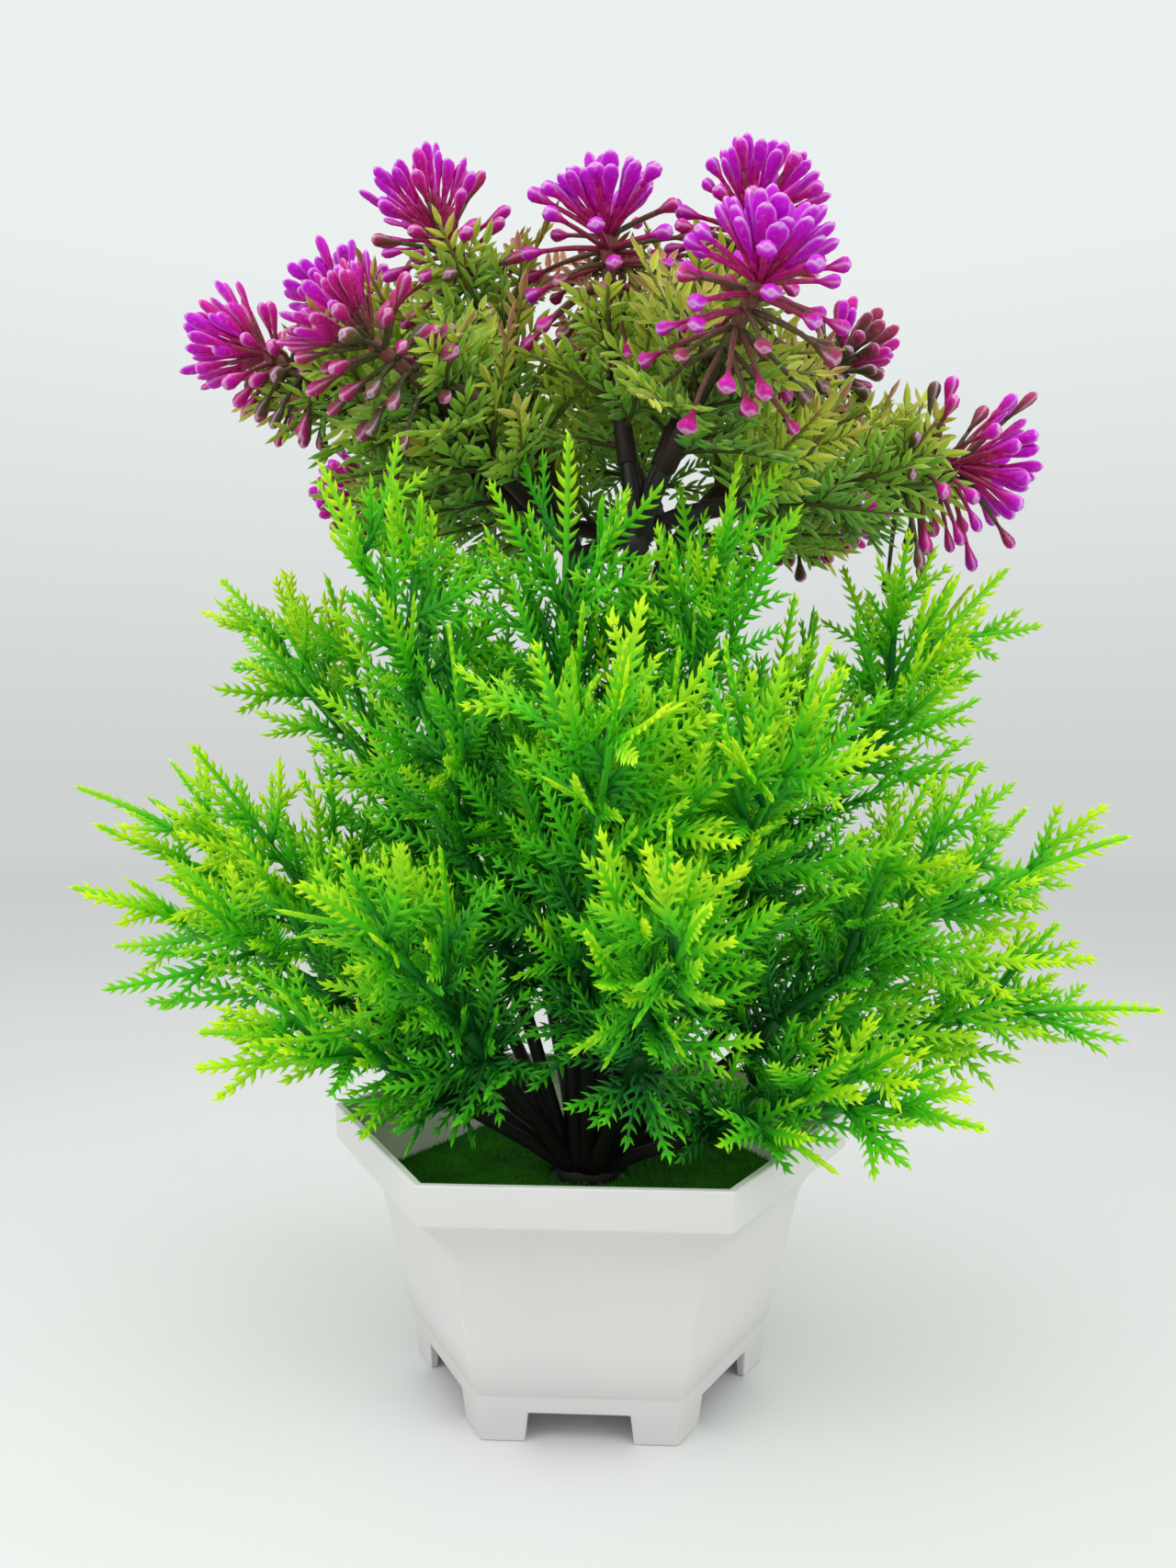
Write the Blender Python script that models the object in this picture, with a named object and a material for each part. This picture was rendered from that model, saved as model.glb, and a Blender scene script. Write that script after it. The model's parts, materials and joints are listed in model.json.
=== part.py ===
"""Artificial tabletop tree: a hexagonal footed pot, its filler block and moss mat, a moulded root hub with
pegged arms, three trunk stems, fern sprays pushed onto the arms, and flower branches with ball-shaped heads.

Metres, +Z up. The origin is on the table, under the centre of the pot, and -Y is the front.
"""

import math

import bmesh
import bpy
from mathutils import Matrix, Vector

MM = 0.001
UP = Vector((0, 0, 1))
GAP = 0.3 * MM  # between pieces that touch or slide on each other

# Pot: centre-to-corner radii of its six-sided outline, and the heights where the outline changes.
SIDES = 6
RIM_RADIUS = 58 * MM
POT_HEIGHT = 56 * MM
BAND_HEIGHT = 7.8 * MM  # the upright band under the rim
COVE_HEIGHT = 10.6 * MM  # the inward slope under the band
SHOULDER_RADIUS = 47.2 * MM
BELLY_RADIUS = 43.0 * MM
BELLY_HEIGHT = 19 * MM
WAIST_RADIUS = 40.2 * MM
FOOT_BAND_HEIGHT = 10.3 * MM
FOOT_RADIUS = 38.6 * MM
WALL = 1.7 * MM
FLOOR_UNDERSIDE = 8.0 * MM
FOOT_GAP_WIDTH = 20 * MM
FOOT_GAP_HEIGHT = 5.9 * MM
FOOT_GAP_DRAFT = 0.8 * MM

# Filler block and moss mat.
MOSS_DEPTH = 14.4 * MM  # below the rim
MOSS_TOP = POT_HEIGHT - MOSS_DEPTH
MOSS_THICKNESS = 1.5 * MM
MOSS_RADIUS = 46.5 * MM

# Trunk stems.
TRUNK_RADIUS = 2.3 * MM
TRUNK_TOP_RADIUS = 2.8 * MM
TRUNK_RING = 3.7 * MM
TRUNK_SEAT = 7 * MM
TRUNK_LENGTH = 141.4 * MM  # above the moss
TRUNK_TOP = MOSS_TOP + TRUNK_LENGTH
TRUNK_SPREAD = 9 * MM
TRUNK_LEAN = 9 * MM
TRUNK_TWIST = -50.0
FORK_RADIUS = 1.9 * MM
FORK_LENGTH = 17 * MM

# Root hub, moulded with all of its arms.
HUB_RADIUS = TRUNK_RING + TRUNK_RADIUS + 3 * MM  # leaves a wall round the trunk's sockets
HUB_PLUG_RADIUS = 6.4 * MM
HUB_PLUG_DEPTH = 18 * MM  # below the moss
HUB_RISE = 5 * MM  # above the moss
HUB_SIDES = 12
ARM_RING = HUB_RADIUS - 0.8 * MM  # where the arms leave the hub
ARM_RADIUS = 1.8 * MM
STEM_SIDES = 8

# Push fit between a peg and a sleeve, which can still turn on it.
PEG_RADIUS = 1.1 * MM
PEG_CLEARANCE = 0.1 * MM
PEG_LENGTH = 6 * MM
BORE_DEPTH = PEG_LENGTH + 1 * MM
SLEEVE_WALL = 1.0 * MM
SLEEVE_LENGTH = 9 * MM

# Fern sprays. Each row: azimuth and rise of the tip from the hub in degrees, its reach, and the arm's length.
# The reach grows with the trunk, so that the ferns stay under the crown.
RACHIS_RADIUS = 1.1 * MM
RACHIS_TIP_RADIUS = 0.5 * MM
RACHIS_SEGMENTS = 8
TWIG_LENGTH = 15 * MM
TWIG_LEAN = 42.0
FERN_GROWTH = TRUNK_LENGTH / (141.4 * MM)
ARM_LIFT = 16.0  # the arms start this many degrees steeper than their tips lie
FERN_SPRAYS = (
    (194, 30, 124 * MM, 34 * MM),
    (174, 35, 145 * MM, 38 * MM),
    (162, 55, 164 * MM, 44 * MM),
    (215, 25, 87 * MM, 26 * MM),
    (230, 41, 100 * MM, 32 * MM),
    (216, 66, 156 * MM, 42 * MM),
    (272, 55, 128 * MM, 34 * MM),
    (288, 36, 112 * MM, 34 * MM),
    (309, 52, 128 * MM, 36 * MM),
    (321, 16, 87 * MM, 26 * MM),
    (0, 17, 125 * MM, 32 * MM),
    (345, 34, 131 * MM, 36 * MM),
    (357, 55, 160 * MM, 44 * MM),
    (252, 79, 154 * MM, 40 * MM),
    (322, 73, 152 * MM, 40 * MM),
    (28, 32, 128 * MM, 36 * MM),
    (82, 34, 106 * MM, 34 * MM),
    (142, 30, 128 * MM, 32 * MM),
    (118, 56, 144 * MM, 38 * MM),
    (56, 62, 142 * MM, 42 * MM),
)

# Flower branches. Each row: trunk index, then azimuth, rise and reach of the head's centre from the crown's centre.
CROWN_CENTRE = Vector((8 * MM, 0, TRUNK_TOP + 3 * MM))
HEAD_CORE_RADIUS = 6.2 * MM
CLUB_LENGTH = 12 * MM
PIN_RADIUS = 0.9 * MM
PIN_LENGTH = 4 * MM
BRANCH_STEM_RADIUS = 1.3 * MM
BRANCH_SEGMENTS = 6
FROND_LENGTH = 13 * MM
FLOWER_BRANCHES = (
    (1, 183, 27, 95 * MM),
    (1, 207, 30, 68 * MM),
    (1, 183, 60, 84 * MM),
    (2, 238, 80, 66 * MM),
    (2, 346, 66, 79 * MM),
    (2, 300, 34, 62 * MM),
    (2, 3, 11, 79 * MM),
    (0, 150, 14, 79 * MM),
    (0, 40, 8, 72 * MM),
    (1, 160, 40, 97 * MM),
    (0, 98, 46, 80 * MM),
    (0, 28, 38, 76 * MM),
)


def heading(azimuth, rise):
    """The unit vector at an azimuth from +X and a rise above the horizon, in degrees."""
    a, e = math.radians(azimuth), math.radians(rise)
    return Vector((math.cos(a) * math.cos(e), math.sin(a) * math.cos(e), math.sin(e)))


def material(name, colour, roughness, metallic=0.0):
    made = bpy.data.materials.new(name)
    made.use_nodes = True
    shader = made.node_tree.nodes["Principled BSDF"]
    shader.inputs["Base Color"].default_value = (*colour, 1)
    shader.inputs["Roughness"].default_value = roughness
    shader.inputs["Metallic"].default_value = metallic
    return made


def add_object(name, shape, finish):
    """Turns a bmesh into a scene object, with its faces pointing outwards."""
    bmesh.ops.recalc_face_normals(shape, faces=shape.faces)
    mesh = bpy.data.meshes.new(name)
    shape.to_mesh(mesh)
    shape.free()
    if finish:
        mesh.materials.append(finish)
    made = bpy.data.objects.new(name, mesh)
    bpy.context.scene.collection.objects.link(made)
    return made


def helper(shape, name):
    """A cutter or a piece that a Boolean joins: it isn't part of the object itself."""
    made = add_object(name, shape, None)
    made.hide_render = True
    made.display_type = "WIRE"
    return made


def boolean(target, operation, other):
    step = target.modifiers.new(other.name, "BOOLEAN")
    step.operation = operation
    step.solver = "EXACT"
    step.object = other


def loft(rings):
    """A closed bmesh through rings of equal counts of points, and its side faces by (segment, side)."""
    shape = bmesh.new()
    loops = [[shape.verts.new(p) for p in ring] for ring in rings]
    count = len(rings[0])
    sides = {}
    for segment, (low, high) in enumerate(zip(loops, loops[1:])):
        for k in range(count):
            after = (k + 1) % count
            sides[segment, k] = shape.faces.new((low[k], low[after], high[after], high[k]))
    shape.faces.new(loops[0][::-1])
    shape.faces.new(loops[-1])
    return shape, sides


def polygon(radius, z, count, turn=0.0):
    angles = [math.radians(turn) + 2 * math.pi * k / count for k in range(count)]
    return [Vector((radius * math.cos(a), radius * math.sin(a), z)) for a in angles]


def bezier(a, b, c, d, t):
    return a * (1 - t) ** 3 + b * 3 * t * (1 - t) ** 2 + c * 3 * t * t * (1 - t) + d * t**3


def frame_across(direction, like):
    """Two unit vectors across a direction, the first one as near as it can be to another vector."""
    first = (like - direction * like.dot(direction)).normalized()
    return first, direction.cross(first)


def ring_around(centre, direction, like, radius, count=STEM_SIDES):
    first, second = frame_across(direction, like)
    angles = [2 * math.pi * (k + 0.5) / count for k in range(count)]
    return [centre + (first * math.cos(a) + second * math.sin(a)) * radius for a in angles]


def tube_rings(points, radii, like):
    """Rings along a line of points, each set across the line, with the reference vector carried along."""
    rings = []
    for k, (point, radius) in enumerate(zip(points, radii)):
        before, after = points[max(k - 1, 0)], points[min(k + 1, len(points) - 1)]
        direction = (after - before).normalized()
        rings.append(ring_around(point, direction, like, radius))
        like, _ = frame_across(direction, like)
    return rings


def sprout(shape, face, towards, steps):
    """Draws a side face out along a vector. Each step: the share of the vector, and the scale of the face."""
    done = 0.0
    for share, scale in steps:
        face = bmesh.ops.extrude_discrete_faces(shape, faces=[face])["faces"][0]
        centre = face.calc_center_median()
        for corner in face.verts:
            corner.co = centre + (corner.co - centre) * scale + towards * (share - done)
        done = share
    return face


# ---- pot -------------------------------------------------------------------------------------------------


def pot_outline():
    """(corner radius, height) up the outside of the pot, from its feet to its rim."""
    return (
        (FOOT_RADIUS, 0.0),
        (WAIST_RADIUS - 0.6 * MM, FOOT_BAND_HEIGHT - 0.6 * MM),
        (WAIST_RADIUS, FOOT_BAND_HEIGHT),
        (BELLY_RADIUS, BELLY_HEIGHT),
        (SHOULDER_RADIUS, POT_HEIGHT - BAND_HEIGHT - COVE_HEIGHT),
        (RIM_RADIUS - 0.5 * MM, POT_HEIGHT - BAND_HEIGHT),
        (RIM_RADIUS, POT_HEIGHT),
    )


def pot_radius(z):
    """The outside corner radius at a height."""
    outline = pot_outline()
    for (r0, z0), (r1, z1) in zip(outline, outline[1:]):
        if z0 <= z <= z1:
            return r0 + (r1 - r0) * (z - z0) / (z1 - z0)
    return outline[-1][0]


WALL_AT_CORNER = WALL / math.cos(math.pi / SIDES)  # across a corner, the wall reads thicker


def inner_radius(z):
    return pot_radius(z) - WALL_AT_CORNER


def make_pot(finish):
    floor_top = FLOOR_UNDERSIDE + WALL
    foot_inside = FOOT_RADIUS - WALL_AT_CORNER
    outside = [(r, z) for r, z in pot_outline()]
    inside = [(inner_radius(z), z) for _, z in reversed(outside) if z > floor_top]
    inside.append((inner_radius(floor_top), floor_top))
    recess = [(foot_inside, FLOOR_UNDERSIDE), (foot_inside, 0.0)]
    rings = [polygon(r, z, SIDES) for r, z in recess + outside + inside]
    shape, _ = loft(rings)
    pot = add_object("pot", shape, finish)
    low, high = -1 * MM, FOOT_GAP_HEIGHT
    for k in range(SIDES // 2):
        half_low = FOOT_GAP_WIDTH / 2 + FOOT_GAP_DRAFT
        half_high = FOOT_GAP_WIDTH / 2
        ends = []
        for reach in (-RIM_RADIUS, RIM_RADIUS):
            corners = ((-half_low, low), (half_low, low), (half_high, high), (-half_high, high))
            ends.append([Vector((x, reach, z)) for x, z in corners])
        cutter, _ = loft(ends)
        cutter.transform(Matrix.Rotation(math.pi * k / 3, 4, "Z"))
        boolean(pot, "DIFFERENCE", helper(cutter, f"foot_gap_cutter_{k + 1}"))
    return pot


# ---- filler, moss and hub --------------------------------------------------------------------------------


def hub_outline(extra=0.0):
    """(radius, height) up the hub, grown outwards by extra."""
    return (
        (HUB_PLUG_RADIUS - 1 * MM + extra, MOSS_TOP - HUB_PLUG_DEPTH - extra),
        (HUB_PLUG_RADIUS + extra, MOSS_TOP - MOSS_THICKNESS - 2 * MM),
        (HUB_RADIUS + extra, MOSS_TOP - MOSS_THICKNESS),
        (HUB_RADIUS + extra, MOSS_TOP + HUB_RISE * 0.5),
        (HUB_RADIUS * 0.9 + extra, MOSS_TOP + HUB_RISE),
    )


def make_filler(finish):
    top = MOSS_TOP - MOSS_THICKNESS - GAP
    floor = FLOOR_UNDERSIDE + WALL + GAP
    heights = [floor] + [z for _, z in pot_outline() if floor < z < top] + [top]
    rings = [polygon(inner_radius(z) - 2 * GAP, z, SIDES) for z in heights]
    shape, _ = loft(rings)
    filler = add_object("filler_block", shape, finish)
    cutter, _ = loft([polygon(r, z, HUB_SIDES) for r, z in hub_outline(GAP)])
    boolean(filler, "DIFFERENCE", helper(cutter, "filler_socket_cutter"))


def make_moss(finish):
    low, high = MOSS_TOP - MOSS_THICKNESS, MOSS_TOP
    radius = min(MOSS_RADIUS, inner_radius(low) - 2 * GAP)
    shape, _ = loft([polygon(radius, z, SIDES) for z in (low, high)])
    mat = add_object("moss_mat", shape, finish)
    hole = HUB_RADIUS + GAP
    cutter, _ = loft([polygon(hole, z, HUB_SIDES) for z in (low - HUB_RISE, high + HUB_RISE)])
    boolean(mat, "DIFFERENCE", helper(cutter, "moss_hole_cutter"))


def hub_centre():
    return Vector((0, 0, MOSS_TOP + HUB_RISE * 0.5))


def spray_lines(row):
    """Where a fern spray runs: its arm's three control points, its peg's base and direction, and its tip."""
    azimuth, rise, reach, arm = row
    start = hub_centre() + heading(azimuth, 0) * ARM_RING
    tip = hub_centre() + heading(azimuth, rise) * reach * FERN_GROWTH
    bend = start + heading(azimuth, min(rise + ARM_LIFT, 84)) * arm / 2
    aim = (tip - bend).normalized()
    aim = (aim + UP * 0.18).normalized()
    return start, bend, bend + aim * arm / 2, aim, tip


def pegged_tube(start, bend, end, aim, start_radius, end_radius):
    """Rings of a curved arm that ends in a straight peg."""
    points = [bezier(start, start.lerp(bend, 2 / 3), end.lerp(bend, 2 / 3), end, t / 4) for t in range(5)]
    radii = [start_radius + (end_radius - start_radius) * t / 4 for t in range(5)]
    like = UP.cross(aim)
    rings = tube_rings(points, radii, like)
    rings[-1] = ring_around(end, aim, like, end_radius)
    for distance in (0.0, PEG_LENGTH):
        rings.append(ring_around(end + aim * distance, aim, like, PEG_RADIUS))
    return rings


def make_hub(finish):
    shape, _ = loft([polygon(r, z, HUB_SIDES) for r, z in hub_outline()])
    hub = add_object("root_hub", shape, finish)
    for k, row in enumerate(FERN_SPRAYS):
        start, bend, end, aim, _ = spray_lines(row)
        arm, _ = loft(pegged_tube(start, bend, end, aim, ARM_RADIUS * 1.2, ARM_RADIUS))
        boolean(hub, "UNION", helper(arm, f"arm_{k + 1:02d}"))
    for k in range(3):
        points = trunk_line(k)
        seat = points[0]
        rings = [ring_around(seat + UP * z, UP, Vector((1, 0, 0)), TRUNK_RADIUS + 2 * GAP)
                 for z in (-GAP, HUB_RISE + TRUNK_SEAT)]
        socket, _ = loft(rings)
        boolean(hub, "DIFFERENCE", helper(socket, f"trunk_socket_cutter_{k + 1}"))


# ---- trunk -----------------------------------------------------------------------------------------------

TRUNK_NAMES = ("trunk_stem_back", "trunk_stem_left", "trunk_stem_right")


def trunk_line(index):
    """Points up a trunk stem: straight in its seat, then twisting round its neighbours and leaning out."""
    base = MOSS_TOP + HUB_RISE - TRUNK_SEAT
    turn = 90 + 120 * index
    points = []
    for k in range(9):
        t = k / 8
        free = max(0.0, t - 0.12) / 0.88
        around = heading(turn + TRUNK_TWIST * free, 0)
        ring = TRUNK_RING + TRUNK_SPREAD * free**2
        points.append(around * ring + Vector((TRUNK_LEAN * free**2, 0, base + (TRUNK_TOP - base) * t)))
    return points


def branch_lines(row):
    """Where a flower branch runs: its fork's control points, its peg's base and direction, and its head."""
    trunk, azimuth, rise, reach = row
    points = trunk_line(trunk)
    outward = heading(azimuth, rise)
    head = CROWN_CENTRE + outward * reach
    top = points[-1] - (points[-1] - points[-2]).normalized() * TRUNK_TOP_RADIUS
    bend = top + (UP * 0.8 + outward).normalized() * FORK_LENGTH / 2
    neck = head - outward * (HEAD_CORE_RADIUS + 2 * MM)
    aim = (neck - bend).normalized()
    return top, bend, bend + aim * FORK_LENGTH / 2, aim, head, outward


def make_trunks(finish):
    for index, name in enumerate(TRUNK_NAMES):
        points = trunk_line(index)
        steps = len(points) - 1
        radii = [TRUNK_RADIUS + (TRUNK_TOP_RADIUS - TRUNK_RADIUS) * k / steps for k in range(steps + 1)]
        shape, _ = loft(tube_rings(points, radii, Vector((1, 0, 0))))
        trunk = add_object(name, shape, finish)
        for k, row in enumerate(FLOWER_BRANCHES):
            if row[0] == index:
                start, bend, end, aim, _, _ = branch_lines(row)
                fork, _ = loft(pegged_tube(start, bend, end, aim, FORK_RADIUS * 1.2, FORK_RADIUS))
                boolean(trunk, "UNION", helper(fork, f"fork_{k + 1:02d}"))


# ---- fern sprays -----------------------------------------------------------------------------------------


def sleeve_rings(mouth, aim, like, stem_radius):
    """A blind bore, the sleeve round it, and its taper to the stem, as rings from the bore's end outwards."""
    bore = PEG_RADIUS + PEG_CLEARANCE
    outer = bore + SLEEVE_WALL
    places = (
        (BORE_DEPTH, bore),
        (0.0, bore),
        (0.0, outer),
        (SLEEVE_LENGTH, outer * 0.9),
        (SLEEVE_LENGTH + 3 * MM, stem_radius),
    )
    return [ring_around(mouth + aim * s, aim, like, r) for s, r in places]


def make_spray(index, row, finish):
    _, _, peg, aim, tip = spray_lines(row)
    mouth = peg + aim * GAP
    like = UP.cross(aim)
    rings = sleeve_rings(mouth, aim, like, RACHIS_RADIUS)
    root = mouth + aim * (SLEEVE_LENGTH + 3 * MM)
    pull = (tip - root).length / 3
    end_aim = (tip - root).normalized() - UP * 0.25
    before_tip = tip - end_aim * pull
    count = RACHIS_SEGMENTS
    points = [bezier(root, root + aim * pull, before_tip, tip, k / count) for k in range(count + 1)]
    radii = [RACHIS_RADIUS + (RACHIS_TIP_RADIUS - RACHIS_RADIUS) * k / count for k in range(count + 1)]
    first = len(rings) - 1
    rings += tube_rings(points, radii, like)[1:]
    shape, sides = loft(rings)
    for k in range(1, count):
        along = k / count
        forward = (points[k + 1] - points[k]).normalized()
        length = TWIG_LENGTH * math.sin(math.pi * (0.12 + 0.8 * along)) ** 0.8
        for side in ((7, 3) if k % 2 else (0, 4)):
            face = sides[first + k, side]
            out = face.calc_center_median() - (points[k] + points[k + 1]) / 2
            lean = math.radians(TWIG_LEAN)
            towards = (out.normalized() * math.cos(lean) + forward * math.sin(lean)) * length
            sprout(shape, face, towards, ((1.0, 0.3),))
    add_object(f"fern_spray_{index + 1:02d}", shape, finish)


# ---- flower branches -------------------------------------------------------------------------------------


def make_branch(index, row, finish):
    """A leafy stem with a sleeve at one end and, at the other, the pin that its flower head sits on."""
    _, _, peg, aim, head, outward = branch_lines(row)
    mouth = peg + aim * GAP
    like = UP.cross(aim)
    rings = sleeve_rings(mouth, aim, like, BRANCH_STEM_RADIUS)
    root = mouth + aim * (SLEEVE_LENGTH + 3 * MM)
    neck = head - outward * (head_bottom() + GAP)
    pull = (neck - root).length / 3
    count = BRANCH_SEGMENTS
    points = [bezier(root, root + aim * pull, neck - outward * pull, neck, k / count) for k in range(count + 1)]
    first = len(rings) - 1
    stem = tube_rings(points, [BRANCH_STEM_RADIUS] * (count + 1), like)
    stem[-1] = ring_around(neck, outward, like, BRANCH_STEM_RADIUS)
    rings += stem[1:]
    rings += [ring_around(neck + outward * s, outward, like, PIN_RADIUS) for s in (0.0, PIN_LENGTH)]
    shape, sides = loft(rings)
    frond = min(FROND_LENGTH, (neck - root).length / 2)
    for k in range(1, count - 1):
        forward = (points[k + 1] - points[k]).normalized()
        for side in ((0, 3, 5) if k % 2 else (1, 4, 7)):
            face = sides[first + k, side]
            out = face.calc_center_median() - (points[k] + points[k + 1]) / 2
            towards = (out.normalized() + forward * 0.35).normalized() * frond * (0.5 + 0.5 * k / count)
            sprout(shape, face, towards, ((1.0, 0.5),))
    add_object(f"flower_branch_{index + 1:02d}", shape, finish)


def head_bottom():
    """From the centre of a flower head's core to the flat of the face that its stem meets."""
    return HEAD_CORE_RADIUS * math.sqrt((5 + 2 * math.sqrt(5)) / 15)


def make_head(index, row, finish):
    """Twenty-sided core: one face takes the stem's pin, and each of the others carries a club."""
    _, _, _, _, head, outward = branch_lines(row)
    shape = bmesh.new()
    bmesh.ops.create_icosphere(shape, subdivisions=1, radius=HEAD_CORE_RADIUS)
    bmesh.ops.recalc_face_normals(shape, faces=shape.faces)
    shape.faces.ensure_lookup_table()
    under = shape.faces[0]
    turn = under.normal.rotation_difference(-UP).to_matrix().to_4x4()
    shape.transform(turn)
    shape.normal_update()
    clubs = [f for f in shape.faces if f.normal.z > -0.7]
    bmesh.ops.inset_individual(shape, faces=[under], thickness=0.35 * MM)
    sprout(shape, under, UP * (PIN_LENGTH + GAP * 2), ((1.0, 1.0),))
    for face in clubs:
        towards = face.normal.copy() * CLUB_LENGTH
        sprout(shape, face, towards, ((0.6, 0.45), (1.0, 1.3)))
    shape.transform(outward.to_track_quat("Z", "Y").to_matrix().to_4x4())
    shape.transform(Matrix.Translation(head))
    add_object(f"flower_head_{index + 1:02d}", shape, finish)


def main():
    for leftover in list(bpy.data.objects):
        bpy.data.objects.remove(leftover)
    white = material("white_plastic", (0.86, 0.87, 0.87), 0.35)
    plaster = material("plaster", (0.72, 0.70, 0.66), 0.9)
    moss = material("flocked_moss", (0.02, 0.09, 0.01), 0.95)
    bark = material("dark_stem", (0.03, 0.024, 0.025), 0.5)
    fern = material("fern_green", (0.10, 0.45, 0.03), 0.45)
    leaf = material("leaf_green", (0.14, 0.30, 0.06), 0.45)
    magenta = material("magenta_club", (0.62, 0.01, 0.62), 0.4)
    make_pot(white)
    make_filler(plaster)
    make_moss(moss)
    make_hub(bark)
    make_trunks(bark)
    for index, row in enumerate(FERN_SPRAYS):
        make_spray(index, row, fern)
    for index, row in enumerate(FLOWER_BRANCHES):
        make_branch(index, row, leaf)
        make_head(index, row, magenta)


main()
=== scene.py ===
"""Artificial tabletop tree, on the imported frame.

It makes the looks of the pot, the moss, the dark stems, the fern sprays, and the flower branches with their
heads.
"""

import json
import math
import random

import bpy
from mathutils import Matrix, Vector


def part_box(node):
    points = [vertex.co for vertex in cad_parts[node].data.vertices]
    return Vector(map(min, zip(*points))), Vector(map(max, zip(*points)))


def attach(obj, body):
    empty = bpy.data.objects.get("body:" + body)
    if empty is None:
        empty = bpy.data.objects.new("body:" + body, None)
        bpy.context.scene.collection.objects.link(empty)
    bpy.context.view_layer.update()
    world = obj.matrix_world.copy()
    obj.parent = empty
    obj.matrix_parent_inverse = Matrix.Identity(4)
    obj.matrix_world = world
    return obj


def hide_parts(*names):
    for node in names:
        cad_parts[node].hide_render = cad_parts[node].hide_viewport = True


bl_info = {
    "name": "Artificial Tabletop Tree",
    "version": (1, 0, 0),
    "blender": (4, 5, 0),
    "location": "3D View > Sidebar > Tree",
    "description": "Builds a potted artificial tree with fern sprays and club-petalled flower heads",
    "category": "Add Mesh",
}

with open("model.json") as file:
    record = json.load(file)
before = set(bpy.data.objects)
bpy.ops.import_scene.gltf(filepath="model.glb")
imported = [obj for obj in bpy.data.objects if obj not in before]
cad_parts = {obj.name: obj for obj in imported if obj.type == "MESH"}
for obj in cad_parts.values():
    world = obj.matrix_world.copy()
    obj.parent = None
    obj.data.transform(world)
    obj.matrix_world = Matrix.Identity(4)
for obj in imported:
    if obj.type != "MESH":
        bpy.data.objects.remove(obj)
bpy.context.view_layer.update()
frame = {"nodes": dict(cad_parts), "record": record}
JOINTS = {joint["name"]: joint for joint in frame["record"]["behaviour"]["joints"]}
FERN_COUNT = sum(name.startswith("spray_") for name in JOINTS)
BRANCH_COUNT = sum(name.startswith("branch_") for name in JOINTS)

MM = 0.001
UP = Vector((0, 0, 1))
EAST = Vector((1, 0, 0))
FULL_TURN = 2 * math.pi
GOLDEN_ANGLE = math.radians(137.508)
STAND = "stand"
RIM_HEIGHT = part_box("pot")[1][2]
RIM_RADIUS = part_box("pot")[1][0]
MOSS_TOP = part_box("moss_mat")[1][2]
MOSS_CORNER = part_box("moss_mat")[1][0]
SLEEVE_LENGTH = 12 * MM
# how far up its sleeve a spray's foliage begins
FOLIAGE_START = 4 * MM
FIT_GAP = 0.3 * MM
PEG_LENGTH = 5.5 * MM
PEG_RADIUS = 1.05 * MM


# ---- shader maths ----------------------------------------------------------------------------------------


class Value:
    """A shader socket that Python arithmetic can be done on."""

    def __init__(self, finish, socket):
        self.finish = finish
        self.socket = socket

    def _math(self, operation, first, second):
        return self.finish.node("ShaderNodeMath", {"operation": operation}, {0: first, 1: second})

    def __add__(self, other):
        return self._math("ADD", self, other)

    def __sub__(self, other):
        return self._math("SUBTRACT", self, other)

    def __rsub__(self, other):
        return self._math("SUBTRACT", other, self)

    def __mul__(self, other):
        return self._math("MULTIPLY", self, other)

    def __pow__(self, other):
        return self._math("POWER", self, other)

    __radd__ = __add__
    __rmul__ = __mul__


class Finish:
    """A material in the making: its nodes, and the shader they feed."""

    def __init__(self, name, **constants):
        self.material = bpy.data.materials.new(name)
        self.material.use_nodes = True
        self.tree = self.material.node_tree
        self.shader = self.tree.nodes["Principled BSDF"]
        for socket, value in constants.items():
            self.shader.inputs[socket.replace("_", " ")].default_value = value

    def node(self, kind, settings=None, sockets=None, output=0):
        """A node of a kind, with its settings made first, and its sockets given values or links."""
        made = self.tree.nodes.new(kind)
        for key, value in (settings or {}).items():
            if key == "stops":
                ramp = made.color_ramp.elements
                while len(ramp) < len(value):
                    ramp.new(0.5)
                for element, (place, colour) in zip(ramp, value):
                    element.position = place
                    element.color = (*colour, 1)
            else:
                setattr(made, key, value)
        for key, value in (sockets or {}).items():
            if isinstance(value, Value):
                self.tree.links.new(value.socket, made.inputs[key])
            else:
                made.inputs[key].default_value = value
        return Value(self, made.outputs[output])

    def attribute(self, name):
        """A number stored on the piece's own points."""
        return self.node("ShaderNodeAttribute", {"attribute_name": name}, output="Fac")

    def place(self):
        """Where a point of the piece is, in metres."""
        return self.node("ShaderNodeTexCoord", output="Object")

    def noise(self, scale, detail):
        sockets = {"Vector": self.place(), "Scale": scale, "Detail": detail}
        return self.node("ShaderNodeTexNoise", sockets=sockets, output="Fac")

    def ramp(self, amount, *stops):
        return self.node("ShaderNodeValToRGB", {"stops": stops}, {"Fac": amount})

    def mix(self, amount, first, second):
        """Colours mixed by a number from 0 to 1. Each colour is three numbers or a link."""
        sockets = {0: amount}
        for key, colour in ((6, first), (7, second)):
            sockets[key] = colour if isinstance(colour, Value) else (*colour, 1)
        return self.node("ShaderNodeMix", {"data_type": "RGBA"}, sockets, output=2)

    def feed(self, socket, value):
        self.tree.links.new(value.socket, self.shader.inputs[socket])

    def bump(self, height, strength, distance):
        sockets = {"Height": height, "Strength": strength, "Distance": distance}
        self.feed("Normal", self.node("ShaderNodeBump", sockets=sockets))


BLACK, WHITE = (0, 0, 0), (1, 1, 1)


def shaded(colour, share):
    return tuple(c * share for c in colour)


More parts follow.
